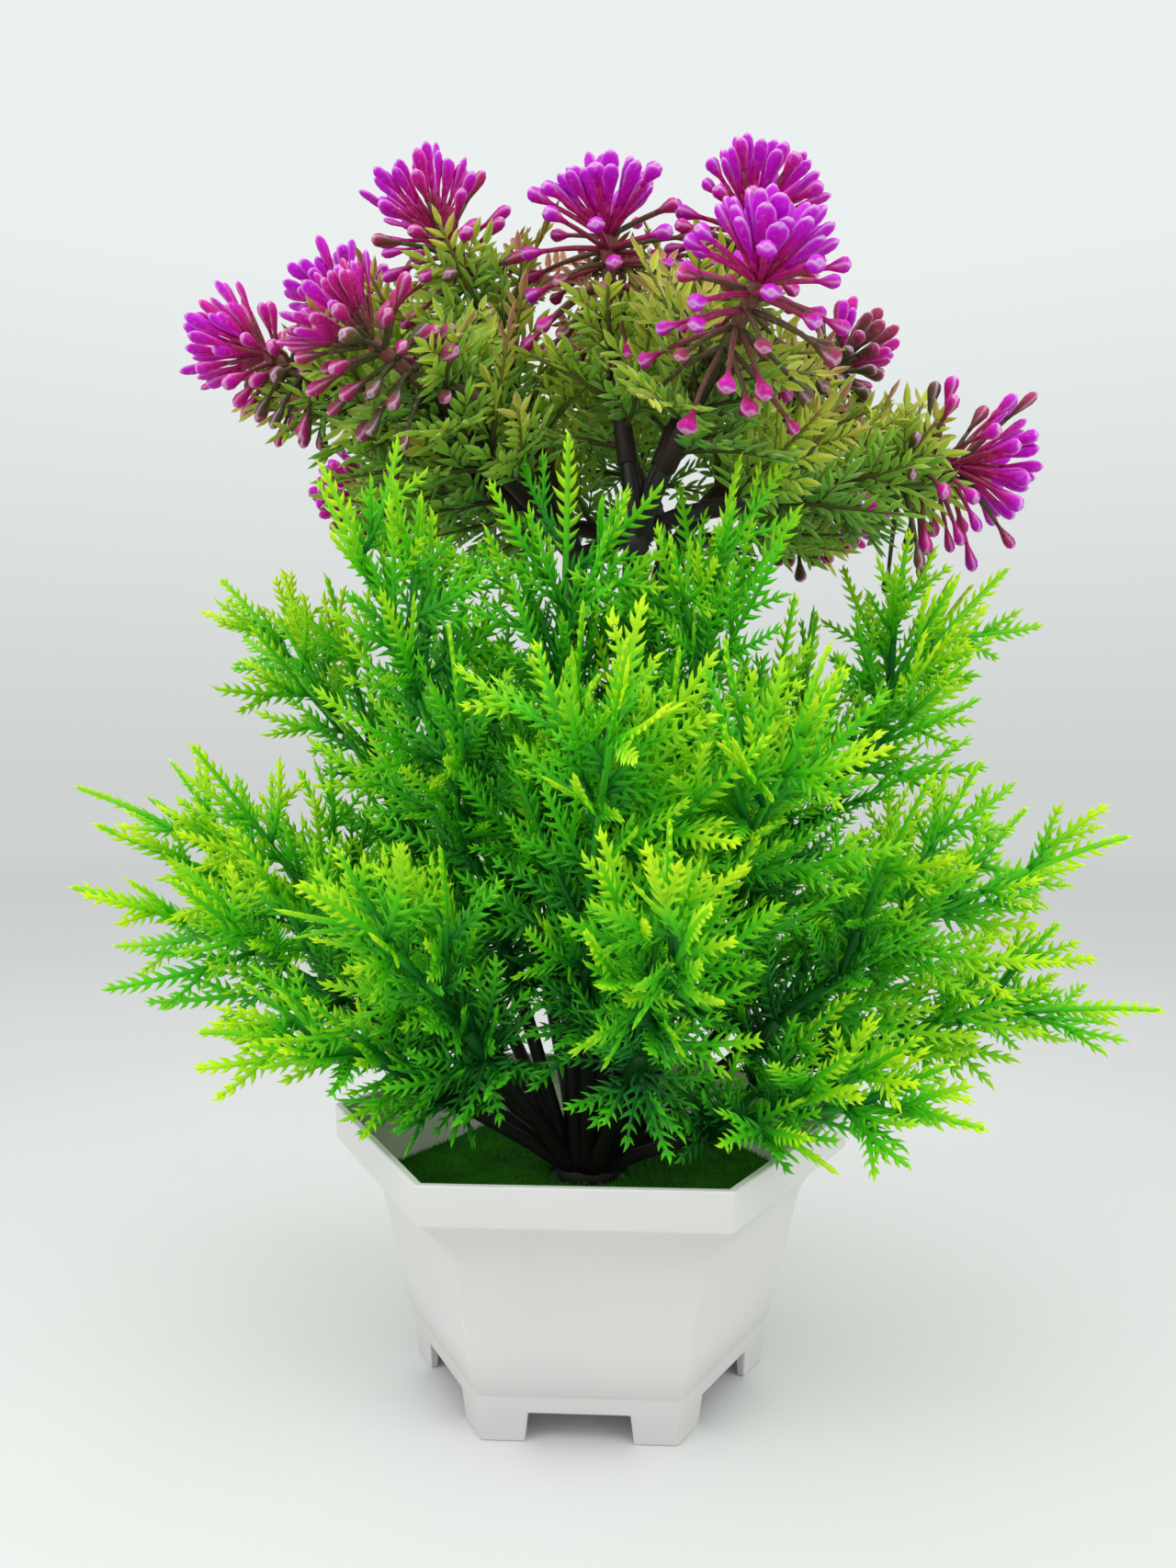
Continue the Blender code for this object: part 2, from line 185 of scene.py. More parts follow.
def pot_finish(name, colour):
    """Injection-moulded plastic: faint flow marks, painted shade that darkens the foot, and a fine ripple in
    its gloss.
    """
    made = Finish(name, Specular_IOR_Level=0.45)
    cloud = made.noise(38, 3)
    fine = made.noise(900, 2)
    height = made.node("ShaderNodeSeparateXYZ", {}, {0: made.place()}, output="Z")
    # painted shade: the base colour darkens towards the pot's bottom, where its inward-sloping lower panel
    # and foot are in shade
    foot = made.ramp(height * 30 + cloud * 0.06, (0.16, WHITE), (0.62, BLACK))
    body = made.mix(cloud, shaded(colour, 0.95), colour)
    made.feed("Base Color", made.mix(foot, body, shaded(colour, 0.84)))
    made.feed("Roughness", cloud * 0.14 + fine * 0.06 + 0.26)
    made.bump(cloud * 0.8 + fine * 0.2, 0.18, 0.0004)
    return made.material


def plaster_finish():
    """Cast plaster: matt, with a coarse grain."""
    made = Finish("cast_plaster")
    grain = made.noise(420, 4)
    made.feed("Base Color", made.ramp(grain, (0.3, (0.46, 0.44, 0.40)), (0.7, (0.70, 0.68, 0.63))))
    made.feed("Roughness", grain * 0.2 + 0.75)
    made.bump(grain, 0.5, 0.0006)
    return made.material


def flock_finish(dark, light):
    """Flock fibres: darker at their roots, with worn and bright patches."""
    made = Finish("moss_flock", Specular_IOR_Level=0.1)
    patch = made.noise(90, 3)
    tone = patch * 0.75 + made.attribute("along") * 0.4 - 0.1
    made.feed("Base Color", made.ramp(tone, (0.15, dark), (0.8, light)))
    made.feed("Roughness", patch * 0.15 + 0.8)
    return made.material


def bark_finish(colour):
    """Dark stem plastic: a satin skin with a fine grain and dusty patches."""
    made = Finish("dark_stem_plastic", Specular_IOR_Level=0.45)
    patch = made.noise(160, 3)
    grain = made.noise(1400, 2)
    dusty = tuple(min(1.0, c * 2.2 + 0.008) for c in colour)
    made.feed("Base Color", made.mix(patch * 0.7, colour, dusty))
    made.feed("Roughness", patch * 0.25 + 0.36)
    made.bump(patch * 0.7 + grain * 0.3, 0.35, 0.0004)
    return made.material


def fern_finish(deep, middle, tip):
    """Moulded fern: dark green inside the spray, where painted shade darkens it further, and yellow-green at
    the ends of its shoots.
    """
    made = Finish("fern_green", Specular_IOR_Level=0.22)
    blotch = made.noise(70, 2)
    tone = made.attribute("age") + made.attribute("along") * 0.12 + blotch * 0.22 - 0.11
    young = tuple((m + t) / 2 for m, t in zip(middle, tip))
    # the first stop is painted shade: a darkened copy of the deep green for the lowest ages, which the shoots
    # and sleeves inside the plant are given
    stops = ((0.0, shaded(deep, 0.25)), (0.12, deep), (0.42, middle), (0.70, young), (1.0, tip))
    made.feed("Base Color", made.ramp(tone, *stops))
    made.feed("Roughness", blotch * 0.2 + 0.33)
    made.bump(made.noise(1500, 2), 0.12, 0.0003)
    return made.material


def rib_finish(bark):
    """A flower branch's stem: dark bark that turns olive along the ribs of its fronds."""
    made = Finish("branch_stem", Specular_IOR_Level=0.3)
    blotch = made.noise(160, 3)
    tone = made.attribute("age") + blotch * 0.12 - 0.06
    stops = ((0.08, bark), (0.20, (0.085, 0.075, 0.022)), (0.55, (0.24, 0.23, 0.035)))
    made.feed("Base Color", made.ramp(tone, *stops))
    made.feed("Roughness", blotch * 0.25 + 0.42)
    made.bump(blotch, 0.2, 0.0003)
    return made.material


def leaf_finish():
    """Crown leaves: dark green inside, then yellow-green, brownish pink at the ends, and pale rims."""
    made = Finish("crown_leaf", Specular_IOR_Level=0.22)
    blotch = made.noise(85, 3)
    body = made.ramp(
        made.attribute("age") + made.attribute("along") * 0.10 + blotch * 0.30 - 0.15,
        (0.0, (0.018, 0.085, 0.022)),
        (0.26, (0.065, 0.27, 0.030)),
        (0.50, (0.26, 0.54, 0.022)),
        (0.78, (0.56, 0.62, 0.03)),
        (1.0, (0.44, 0.15, 0.09)),
    )
    made.feed("Base Color", made.mix(made.attribute("rim") ** 3 * 0.45, body, (0.62, 0.74, 0.40)))
    made.feed("Roughness", blotch * 0.2 + 0.4)
    made.bump(made.noise(1300, 2), 0.15, 0.0003)
    return made.material


def flower_finish(bright, stalk, painted_highlight):
    """Clubs: vivid dye on the outer ones, maroon to olive on the lower ones, and painted highlights on their
    edges.
    """
    made = Finish("magenta_club", Specular_IOR_Level=0.22)
    blotch = made.noise(190, 3)
    painted_glint = made.ramp(made.noise(1100, 3), (0.56, BLACK), (0.74, WHITE))
    body = made.ramp(
        made.attribute("age") + made.attribute("along") * 0.42 + blotch * 0.30 - 0.40,
        (0.0, (0.085, 0.085, 0.028)),
        (0.2, (0.19, 0.055, 0.045)),
        (0.42, stalk),
        (0.66, (0.66, 0.002, 0.34)),
        (0.9, bright),
    )
    # painted highlight: pale colour on the clubs' edges and blunt ends, and pale flecks of painted glint over
    # the clubs
    edge = made.attribute("rim") ** 4 * (blotch * 0.9 + 0.30) * 0.8 + painted_glint * 0.16
    made.feed("Base Color", made.mix(edge, body, painted_highlight))
    made.feed("Roughness", blotch * 0.25 + 0.34)
    made.bump(made.noise(1500, 2), 0.25, 0.0003)
    return made.material


# ---- lines and shapes ------------------------------------------------------------------------------------


def curve(a, b, c, d, steps):
    """A path along a cubic curve that leaves a towards b and comes into d from c."""
    shares = [k / steps for k in range(steps + 1)]
    return [a * (1 - t) ** 3 + b * 3 * t * (1 - t) ** 2 + c * 3 * t * t * (1 - t) + d * t**3 for t in shares]


def bow(a, b, c, steps):
    """A path along a plain bend from a to c, pulled towards b."""
    shares = [k / steps for k in range(steps + 1)]
    return [a * (1 - t) ** 2 + b * 2 * t * (1 - t) + c * t * t for t in shares]


def across(direction, like):
    """Two unit vectors across a direction, the first as near as it can be to another vector."""
    first = like - direction * like.dot(direction)
    if first.length < 1e-6:
        first = direction.orthogonal()
    first.normalize()
    return first, direction.cross(first)


def turned(one, two, angle):
    """A unit vector turned by an angle towards a second one that stands square to it."""
    return one * math.cos(angle) + two * math.sin(angle)


def heading(azimuth, rise):
    a, e = math.radians(azimuth), math.radians(rise)
    return Vector((math.cos(a) * math.cos(e), math.sin(a) * math.cos(e), math.sin(e)))


def between(ends, share):
    """The number that lies a share of the way from one to another."""
    return ends[0] + (ends[1] - ends[0]) * share


def taper(radius, loss, steps):
    """Radii in millimetres that shrink evenly along a path, in metres."""
    return [(radius - loss * k / steps) * MM for k in range(steps + 1)]


def ripening(first, gain, steps):
    """Ages along a stem, which gain slowly at first."""
    return [first + gain * (k / steps) ** 1.5 for k in range(steps + 1)]


class Line:
    """A path that can be walked by distance."""

    def __init__(self, points):
        self.points = points
        self.lengths = [(b - a).length for a, b in zip(points, points[1:])]
        self.total = sum(self.lengths)

    def at(self, distance):
        """The point and the direction at a distance along the path."""
        for k, length in enumerate(self.lengths):
            if distance <= length or k == len(self.lengths) - 1:
                direction = (self.points[k + 1] - self.points[k]).normalized()
                return self.points[k] + direction * min(distance, length), direction
            distance -= length


def band_faces(first, sides, bands):
    """The faces between rings of points that are numbered one ring after another."""
    faces = []
    for k in range(bands):
        low = first + k * sides
        for s in range(sides):
            after = (s + 1) % sides
            faces.append((low + s, low + after, low + sides + after, low + sides + s))
    return faces


class Sprig:
    """Tubes for stems, and marked loose points where leaves are to go."""

    def __init__(self):
        self.points = []
        self.faces = []
        self.ages = []
        self.turns = []

    def tube(self, path, radii, ages, sides=4, like=UP, grooves=0.0):
        """A closed stem along a path, with flat ends and, where asked, four long grooves."""
        first = len(self.points)
        for k, (centre, radius) in enumerate(zip(path, radii)):
            direction = (path[min(k + 1, len(path) - 1)] - path[max(k - 1, 0)]).normalized()
            one, two = across(direction, like)
            like = one
            for s in range(sides):
                a = FULL_TURN * s / sides
                r = radius * (1 - grooves * (0.5 + 0.5 * math.cos(4 * a)))
                self.points.append(centre + turned(one, two, a) * r)
                self.ages.append(ages[k])
        self.faces += band_faces(first, sides, len(path) - 1)
        self.faces.append(tuple(range(first + sides - 1, first - 1, -1)))
        last = first + (len(path) - 1) * sides
        self.faces.append(tuple(range(last, last + sides)))

    def leaf(self, at, along, normal, size, age):
        """A leaf that grows from a point along one vector, with its upper side towards another."""
        x = along.normalized()
        z = (normal - x * normal.dot(x)).normalized()
        y = z.cross(x)
        turn = Matrix((x, y, z)).transposed().to_euler("XYZ")
        self.turns.append((len(self.points), tuple(turn), size))
        self.points.append(at)
        self.ages.append(age)

    def mesh(self, name):
        mesh = bpy.data.meshes.new(name)
        mesh.from_pydata([tuple(p) for p in self.points], [], self.faces)
        count = len(self.points)
        marks, turns, sizes = [False] * count, [0.0] * (3 * count), [1.0] * (3 * count)
        for k, turn, size in self.turns:
            marks[k] = True
            turns[3 * k : 3 * k + 3] = turn
            sizes[3 * k : 3 * k + 3] = size
        mesh.attributes.new("age", "FLOAT", "POINT").data.foreach_set("value", self.ages)
        mesh.attributes.new("leafy", "BOOLEAN", "POINT").data.foreach_set("value", marks)
        mesh.attributes.new("turn", "FLOAT_VECTOR", "POINT").data.foreach_set("vector", turns)
        mesh.attributes.new("size", "FLOAT_VECTOR", "POINT").data.foreach_set("vector", sizes)
        mesh.shade_smooth()
        return mesh


def shape_of_rings(name, rings, tip, tip_rim, smooth=False):
    """A closed leaf or club: rings of (x, y, z, rim) points, base first, drawn together at a tip."""
    marked = [point for ring in rings for point in ring] + [(*tip, tip_rim)]
    sides = len(rings[0])
    last = (len(rings) - 1) * sides
    faces = band_faces(0, sides, len(rings) - 1)
    faces += [(last + s, last + (s + 1) % sides, last + sides) for s in range(sides)]
    faces.append(tuple(range(sides - 1, -1, -1)))
    mesh = bpy.data.meshes.new(name)
    mesh.from_pydata([point[:3] for point in marked], [], faces)
    mesh.attributes.new("along", "FLOAT", "POINT").data.foreach_set("value", [x for x, _, _, _ in marked])
    mesh.attributes.new("rim", "FLOAT", "POINT").data.foreach_set("value", [rim for _, _, _, rim in marked])
    if smooth:
        mesh.shade_smooth()
    made = bpy.data.objects.new(name, mesh)
    bpy.context.scene.collection.objects.link(made)
    return made


def needle_shape():
    """One fern needle, about a unit long and wide, keeled above and below, and bent along its shoot."""
    rings = []
    for x, wide, thick, bend in ((-0.12, 0.58, 0.5, 0.1), (0.45, 0.38, 0.45, 0.0)):
        edges = (x, bend + wide, 0, 1), (x, bend - wide, 0, 1)
        rings.append([edges[0], (x, bend, thick, 0), edges[1], (x, bend, -thick, 0)])
    return shape_of_rings("needle_shape", rings, (1.0, -0.55, 0), 0.6)


def leaflet_shape():
    """One narrow leaflet, a unit long and wide, creased along its midrib."""
    rings = []
    for x, wide in ((0.0, 0.12), (0.36, 0.5), (0.72, 0.34)):
        rings.append([(x, wide, 0.35, 1), (x, 0, 0.0, 0), (x, -wide, 0.35, 1), (x, 0, -0.5, 0)])
    return shape_of_rings("leaflet_shape", rings, (1.0, 0, 0.1), 1.0)


def club_shape():
    """One club, a unit long and wide: a slim neck, a swelling with two edges, and a blunt end."""
    sides = 8
    rings = []
    for x, radius in ((0.0, 0.14), (0.24, 0.18), (0.50, 0.36), (0.73, 0.50), (0.88, 0.43), (0.97, 0.21)):
        ring = []
        blunt = 1.0 if x > 0.95 else 0.0
        for s in range(sides):
            a = FULL_TURN * s / sides
            edge = 1.0 if s % (sides // 2) == 0 else 0.0
            r = radius * (1.0 + 0.08 * edge)
            # the rim mark is where the painted highlight goes: the two edges, more towards the end, and the
            # blunt end
            ring.append((x, r * math.cos(a), r * math.sin(a), max(edge * min(1.0, 2 * x), blunt)))
        rings.append(ring)
    return shape_of_rings("club_shape", rings, (1.0, 0, 0), 0.8, True)


def fibre_shape():
    """One flock fibre: a thin three-sided spike, a unit long and wide."""
    rings = [[(0, 0.5, 0, 0), (0, -0.25, 0.43, 0), (0, -0.25, -0.43, 0)]]
    return shape_of_rings("fibre_shape", rings, (1.0, 0, 0), 0)


# ---- geometry nodes --------------------------------------------------------------------------------------


class NodeTree:
    """A Geometry Nodes tree in the making, with named inputs."""

    def __init__(self, name, **inputs):
        self.tree = bpy.data.node_groups.new(name, "GeometryNodeTree")
        face = self.tree.interface
        face.new_socket("Geometry", in_out="INPUT", socket_type="NodeSocketGeometry")
        for label, kind in inputs.items():
            face.new_socket(label.replace("_", " "), in_out="INPUT", socket_type=f"NodeSocket{kind}")
        face.new_socket("Geometry", in_out="OUTPUT", socket_type="NodeSocketGeometry")
        self.input = self.tree.nodes.new("NodeGroupInput")
        self.output = self.tree.nodes.new("NodeGroupOutput")

    def add(self, kind, sockets=None, **settings):
        """A node of a kind, with its settings made first, and its sockets given values, links or nodes."""
        made = self.tree.nodes.new(kind)
        for key, value in settings.items():
            setattr(made, key, value)
        for key, value in (sockets or {}).items():
            if isinstance(value, bpy.types.Node):
                value = value.outputs[0]
            if isinstance(value, bpy.types.NodeSocket):
                self.tree.links.new(value, made.inputs[key])
            else:
                made.inputs[key].default_value = value
        return made

    def given(self, label):
        return self.input.outputs[label]

    def maths(self, operation, first, second):
        return self.add("ShaderNodeMath", {0: first, 1: second}, operation=operation)

    def stored(self, name, kind):
        return self.add("GeometryNodeInputNamedAttribute", {"Name": name}, data_type=kind)

    def chance(self, low, high):
        """A chance number between two, from the tree's seed."""
        sockets = {2: low, 3: high, "Seed": self.given("Seed")}
        return self.add("FunctionNodeRandomValue", sockets, data_type="FLOAT").outputs[1]

    def copies(self, points, source, turn, size):
        """Real copies of the object that an input gives, one on each point."""
        shape = self.add("GeometryNodeObjectInfo", {"Object": self.given(source)}).outputs["Geometry"]
        sockets = {"Points": points, "Instance": shape, "Rotation": turn, "Scale": size}
        placed = self.add("GeometryNodeInstanceOnPoints", sockets)
        return self.add("GeometryNodeRealizeInstances", {0: placed})

    def painted(self, geometry, material):
        return self.add("GeometryNodeSetMaterial", {0: geometry, "Material": self.given(material)})

    def finish(self, node):
        self.tree.links.new(node.outputs[0], self.output.inputs[0])
        return self.tree


def leafing_tree():
    """Puts a leaf on each marked point of a sprig, at the point's own turn and size."""
    tree = NodeTree(
        "leafing",
        Leaf="Object",
        Leaf_Material="Material",
        Stem_Material="Material",
        Size_Variation="Float",
        Seed="Int",
    )
    variation = tree.given("Size Variation")
    spread = tree.chance(tree.maths("SUBTRACT", 1.0, variation), tree.maths("ADD", 1.0, variation))
    sockets = {0: tree.stored("size", "FLOAT_VECTOR"), "Scale": spread}
    size = tree.add("ShaderNodeVectorMath", sockets, operation="SCALE")
    sockets = {"Geometry": tree.given("Geometry"), "Selection": tree.stored("leafy", "BOOLEAN")}
    apart = tree.add("GeometryNodeSeparateGeometry", sockets, domain="POINT")
    leaves = tree.copies(apart, "Leaf", tree.stored("turn", "FLOAT_VECTOR"), size)
    joined = tree.add("GeometryNodeJoinGeometry")
    for part in (tree.painted(leaves, "Leaf Material"), tree.painted(apart.outputs[1], "Stem Material")):
        tree.tree.links.new(part.outputs[0], joined.inputs[0])
    return tree.finish(joined)


def flocking_tree():
    """Stands fibres on a surface, leaning a little every way."""
    tree = NodeTree(
        "flocking",
        Fibre="Object",
        Material="Material",
        Density="Float",
        Length="Float",
        Thickness="Float",
        Lean="Float",
        Seed="Int",
    )
    lean, thickness, seed = tree.given("Lean"), tree.given("Thickness"), tree.given("Seed")
    sockets = {"Mesh": tree.given("Geometry"), "Density": tree.given("Density"), "Seed": seed}
    scattered = tree.add("GeometryNodeDistributePointsOnFaces", sockets)
    back = tree.maths("MULTIPLY", lean, -1.0)
    low = tree.add("ShaderNodeCombineXYZ", {0: back, 1: back})
    high = tree.add("ShaderNodeCombineXYZ", {0: lean, 1: lean, 2: 6.28})
    leaning = tree.add("FunctionNodeRandomValue", {0: low, 1: high, "Seed": seed}, data_type="FLOAT_VECTOR")
    upright = (0.0, -math.pi / 2, 0.0)
    turn = tree.add("ShaderNodeVectorMath", {0: leaning, 1: upright}, operation="ADD")
    length = tree.maths("MULTIPLY", tree.given("Length"), tree.chance(0.55, 1.0))
    size = tree.add("ShaderNodeCombineXYZ", {0: length, 1: thickness, 2: thickness})
    return tree.finish(tree.painted(tree.copies(scattered, "Fibre", turn, size), "Material"))


def grown(name, mesh, tree, **values):
    """The plain mesh object that a tree makes of a mesh. Input names are written with underscores."""
    start = bpy.data.objects.new(name + "_start", mesh)
    bpy.context.scene.collection.objects.link(start)
    modifier = start.modifiers.new("grow", "NODES")
    modifier.node_group = tree
    for item in tree.interface.items_tree:
        key = item.name.replace(" ", "_")
        if item.in_out == "INPUT" and key in values:
            modifier[item.identifier] = values[key]
    return finished(name, start)


def finished(name, start):
    """Turns an object with modifiers into a plain mesh object, and removes the first one."""
    bpy.context.view_layer.update()
    graph = bpy.context.evaluated_depsgraph_get()
    mesh = bpy.data.meshes.new_from_object(start.evaluated_get(graph), depsgraph=graph)
    mesh.name = name
    bpy.data.objects.remove(start)
    return linked(name, mesh)


def linked(name, mesh):
    made = bpy.data.objects.new(name, mesh)
    bpy.context.scene.collection.objects.link(made)
    return made


def place(piece, body, nodes, slot):
    """Puts a piece on its CAD body, in place of CAD nodes; its slot argument is not used."""
    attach(piece, body)
    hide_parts(*nodes)


# ---- lines of the plant ----------------------------------------------------------------------------------


def joint_line(name):
    joint = JOINTS[name]
    return Vector(joint["pos_m"]), Vector(joint["axis"]).normalized()


def node_points(name):
    return [vertex.co for vertex in frame["nodes"][name].data.vertices]


def fern_line(index):
    """A fern spray's sleeve mouth and direction, and its stem's path from the end of the sleeve."""
    pos, aim = joint_line(f"spray_{index:02d}_swivel")
    tip = max(node_points(f"fern_spray_{index:02d}"), key=lambda p: (p - pos).length_squared)
    mouth = pos + aim * FIT_GAP
    root = mouth + aim * SLEEVE_LENGTH
    pull = (tip - root).length / 3
    before = tip - ((tip - root).normalized() - UP * 0.25) * pull
    return mouth, aim, curve(root, root + aim * pull, before, tip, 40)


CROWN_CENTRE = Vector((8 * MM, 0, 186 * MM))
HEAD_CORE_RADIUS = 6.2 * MM
# azimuth and rise in degrees and reach in mm from the crown's centre; lift of the tuft towards upright;
# spread of the lower clubs; slimness from 0 to 1; and how far the dye has turned maroon
HEADS = (
    (184, 26, 89, -0.05, 1.05, 0.9, 0.14),
    (207, 30, 66, 0.15, 1.15, 0.8, 0.26),
    (183, 58, 79, 0.50, 1.25, 1.0, 0.04),
    (255, 78, 62, 0.30, 1.35, 0.2, 0.03),
    (344, 66, 71, 0.20, 1.20, 0.4, 0.02),
    (300, 34, 63, 0.90, 1.25, 0.0, 0.00),
    (3, 11, 77, -0.20, 1.40, 0.7, 0.05),
    (150, 14, 79, 0.0, 0.95, 0.5, 0.10),
    (40, 13, 71, 0.0, 0.90, 0.5, 0.20),
    (160, 40, 97, 0.2, 1.00, 0.6, 0.04),
    (98, 46, 80, 0.3, 1.05, 0.3, 0.03),
    (28, 38, 75, 0.3, 0.90, 0.3, 0.42),
)
# whorls of clubs below a head's tuft: how far down the stem in mm, how far they open in degrees, and how many
WHORLS = ((0.5, 70, 9), (3.0, 86, 9), (6.0, 98, 8), (9.5, 108, 8), (13.5, 116, 6))


def head_place(index):
    """The centre of a flower head, and the way from the crown's centre to it."""
    azimuth, rise, reach = HEADS[index - 1][:3]
    outward = heading(azimuth, rise)
    return CROWN_CENTRE + outward * reach * MM, outward


def branch_line(index):
    """A flower branch's sleeve mouth and direction, and its stem's path from the sleeve's end to its head."""
    pos, aim = joint_line(f"branch_{index:02d}_swivel")
    head, outward = head_place(index)
    mouth = pos + aim * FIT_GAP
    root = mouth + aim * SLEEVE_LENGTH
    neck = head - outward * (HEAD_CORE_RADIUS - 2 * MM)
    pull = (neck - root).length / 3
    return mouth, aim, curve(root, root + aim * pull, neck - outward * pull, neck, 24)


TRUNK_TOP = 183 * MM
TRUNK_BASE = MOSS_TOP - 2 * MM
TRUNK_NODES = ("trunk_stem_back", "trunk_stem_left", "trunk_stem_right")
TRUNK_STEPS = 40
# the share of its height over which a trunk stem stands straight
TRUNK_SEAT = 0.12


def trunk_path(index):
    """Up a trunk stem: straight in its seat, then twisting round its neighbours and leaning out."""
    turn = 90 + 120 * index
    points = []
    for k in range(TRUNK_STEPS + 1):
        t = k / TRUNK_STEPS
        free = max(0.0, t - TRUNK_SEAT) / (1 - TRUNK_SEAT)
        ring = 3.7 * MM + 9 * MM * free**2
        centre = heading(turn - 50 * free, 0) * ring + Vector((9 * MM * free**2, 0, 0))
        points.append(centre + UP * (TRUNK_BASE + (TRUNK_TOP - TRUNK_BASE) * t))
    return points


def nearest_trunk(spot):
    """The number of the trunk stem whose top is nearest to a spot."""
    return min(range(len(TRUNK_NODES)), key=lambda k: (spot - trunk_path(k)[-1]).length)


# ---- settings --------------------------------------------------------------------------------------------


def size_setting(name, description, millimetres):
    size = millimetres * MM
    return bpy.props.FloatProperty(name=name, description=description, default=size, unit="LENGTH")


def colour_setting(name, description, colour):
    return bpy.props.FloatVectorProperty(name=name, description=description, subtype="COLOR", default=colour)


class PotSettings(bpy.types.PropertyGroup):
    wall: size_setting("Wall", "Thickness of the pot's wall", 1.7)
    edge: size_setting("Edge", "Rounding of the pot's edges", 0.7)
    colour: colour_setting("Colour", "Colour of the pot", (0.745, 0.730, 0.722))
    # the inner colour is partly painted light: a cream tone made brighter than the outer plastic, to make up
    # for the foliage's shade inside the pot
    inner_colour_with_painted_light: colour_setting("Inner colour", "Colour inside the pot", (0.82, 0.79, 0.69))


class MossSettings(bpy.types.PropertyGroup):
    pile: size_setting("Pile", "Length of the flock fibres", 1.3)
    thickness: size_setting("Thickness", "Thickness of a flock fibre", 0.24)
    density: bpy.props.FloatProperty(
        name="Density", description="Fibres on a square metre", default=2.6e6, min=0
    )
    dark: colour_setting("Dark", "Colour at the fibres' roots", (0.021, 0.135, 0.008))
    light: colour_setting("Light", "Colour at the fibres' ends", (0.075, 0.42, 0.018))


class StemSettings(bpy.types.PropertyGroup):
    colour: colour_setting("Colour", "Colour of the stems", (0.011, 0.008, 0.010))
    arm_radius: size_setting("Arm radius", "Radius of an arm that holds a fern", 1.55)
    trunk_radius: size_setting("Trunk radius", "Radius of a trunk stem at its foot", 2.4)


class FernSettings(bpy.types.PropertyGroup):
    needle_length: size_setting("Needle length", "Length of one needle", 4.0)
    needle_width: size_setting("Needle width", "Width of one needle", 1.25)
    needle_spacing: size_setting("Needle spacing", "From one pair of needles to the next", 2.5)
    shoot_length: size_setting("Shoot length", "Length of the longest side shoots", 35)
    shoot_spacing: size_setting("Shoot spacing", "From one side shoot to the next", 4.1)
    deep: colour_setting("Deep", "Colour inside a spray", (0.008, 0.19, 0.016))
    middle: colour_setting("Middle", "Colour of most needles", (0.085, 0.60, 0.005))
    tip: colour_setting("Tip", "Colour of the youngest needles", (0.66, 0.96, 0.008))


class LeafSettings(bpy.types.PropertyGroup):
    frond_length: size_setting("Frond length", "Length of a leaf frond", 35)
    leaflet_length: size_setting("Leaflet length", "Length of one leaflet", 5.8)
    leaflet_width: size_setting("Leaflet width", "Width of one leaflet", 1.8)
    stem: colour_setting("Stem", "Colour of a branch's stem", (0.026, 0.014, 0.011))


class FlowerSettings(bpy.types.PropertyGroup):
    tuft: bpy.props.IntProperty(name="Tuft", description="Clubs in the tuft on a head", default=30, min=3)
    club_length: size_setting("Club length", "Length of a tuft club's swelling", 9.6)
    club_width: size_setting("Club width", "Width of a tuft club", 3.55)
    bud_length: size_setting("Bud length", "Length of a lower club's swelling", 5.2)
    bud_width: size_setting("Bud width", "Width of a lower club", 3.5)
    reach: size_setting("Reach", "From a head's centre to its clubs' ends", 14.9)
    bright: colour_setting("Bright", "Colour of the clubs", (0.60, 0.0, 0.66))
    stalk: colour_setting("Stalk", "Colour of the stalks", (0.46, 0.012, 0.14))
    # the pale colour of the painted highlights on the clubs' edges
    painted_highlight: colour_setting("Frost", "Colour of the worn edges", (0.88, 0.60, 0.86))


class StageSettings(bpy.types.PropertyGroup):
    floor: colour_setting("Floor", "Colour of the floor", (0.80, 0.795, 0.79))
    lens: bpy.props.FloatProperty(name="Lens", description="Focal length in millimetres", default=25.32)


# ---- pot and moss ----------------------------------------------------------------------------------------


POT_SIDES = 6
# the rim's corner radius and height that the pot's outline is written for, in mm
OUTLINE_RADIUS = 58
OUTLINE_HEIGHT = 56
POT_FLOOR = 8.0 * MM
# the gap between two feet, as (across, up) in mm
NOTCH = ((-10.8, -1.0), (10.8, -1.0), (10.0, 5.9), (-10.0, 5.9))
# how far below the moss the inner colour begins: cream, brightened past the outer plastic as painted light
# against the foliage's shade
INNER_START = 6 * MM


def hexagon(radius, z):
    angles = [FULL_TURN * k / POT_SIDES for k in range(POT_SIDES)]
    return [(radius * math.cos(a), radius * math.sin(a), z) for a in angles]


def loft_mesh(name, rings):
    """A closed mesh through rings of points that have the same number of corners."""
    sides = len(rings[0])
    last = (len(rings) - 1) * sides
    faces = [tuple(range(sides - 1, -1, -1))]
    faces += band_faces(0, sides, len(rings) - 1)
    faces.append(tuple(range(last, last + sides)))
    mesh = bpy.data.meshes.new(name)
    mesh.from_pydata([p for ring in rings for p in ring], [], faces)
    return mesh


def pot_outline():
    """(corner radius, height) up the outside: feet, belly, hollow cove and upright rim band."""
    outline = [(38.6, 0.0), (39.7, 9.4), (40.3, 10.3), (41.6, 14.0), (42.9, 19.0), (44.9, 28.5), (46.9, 36.4)]
    steps = 7
    for k in range(steps + 1):
        outline.append((47.3 + 10.1 * (k / steps) ** 1.55, 37.9 + 10.2 * k / steps))
    outline += [(57.6, 48.6), (58.0, 56.0)]
    return [(r * RIM_RADIUS / OUTLINE_RADIUS, z * RIM_HEIGHT / OUTLINE_HEIGHT) for r, z in outline]


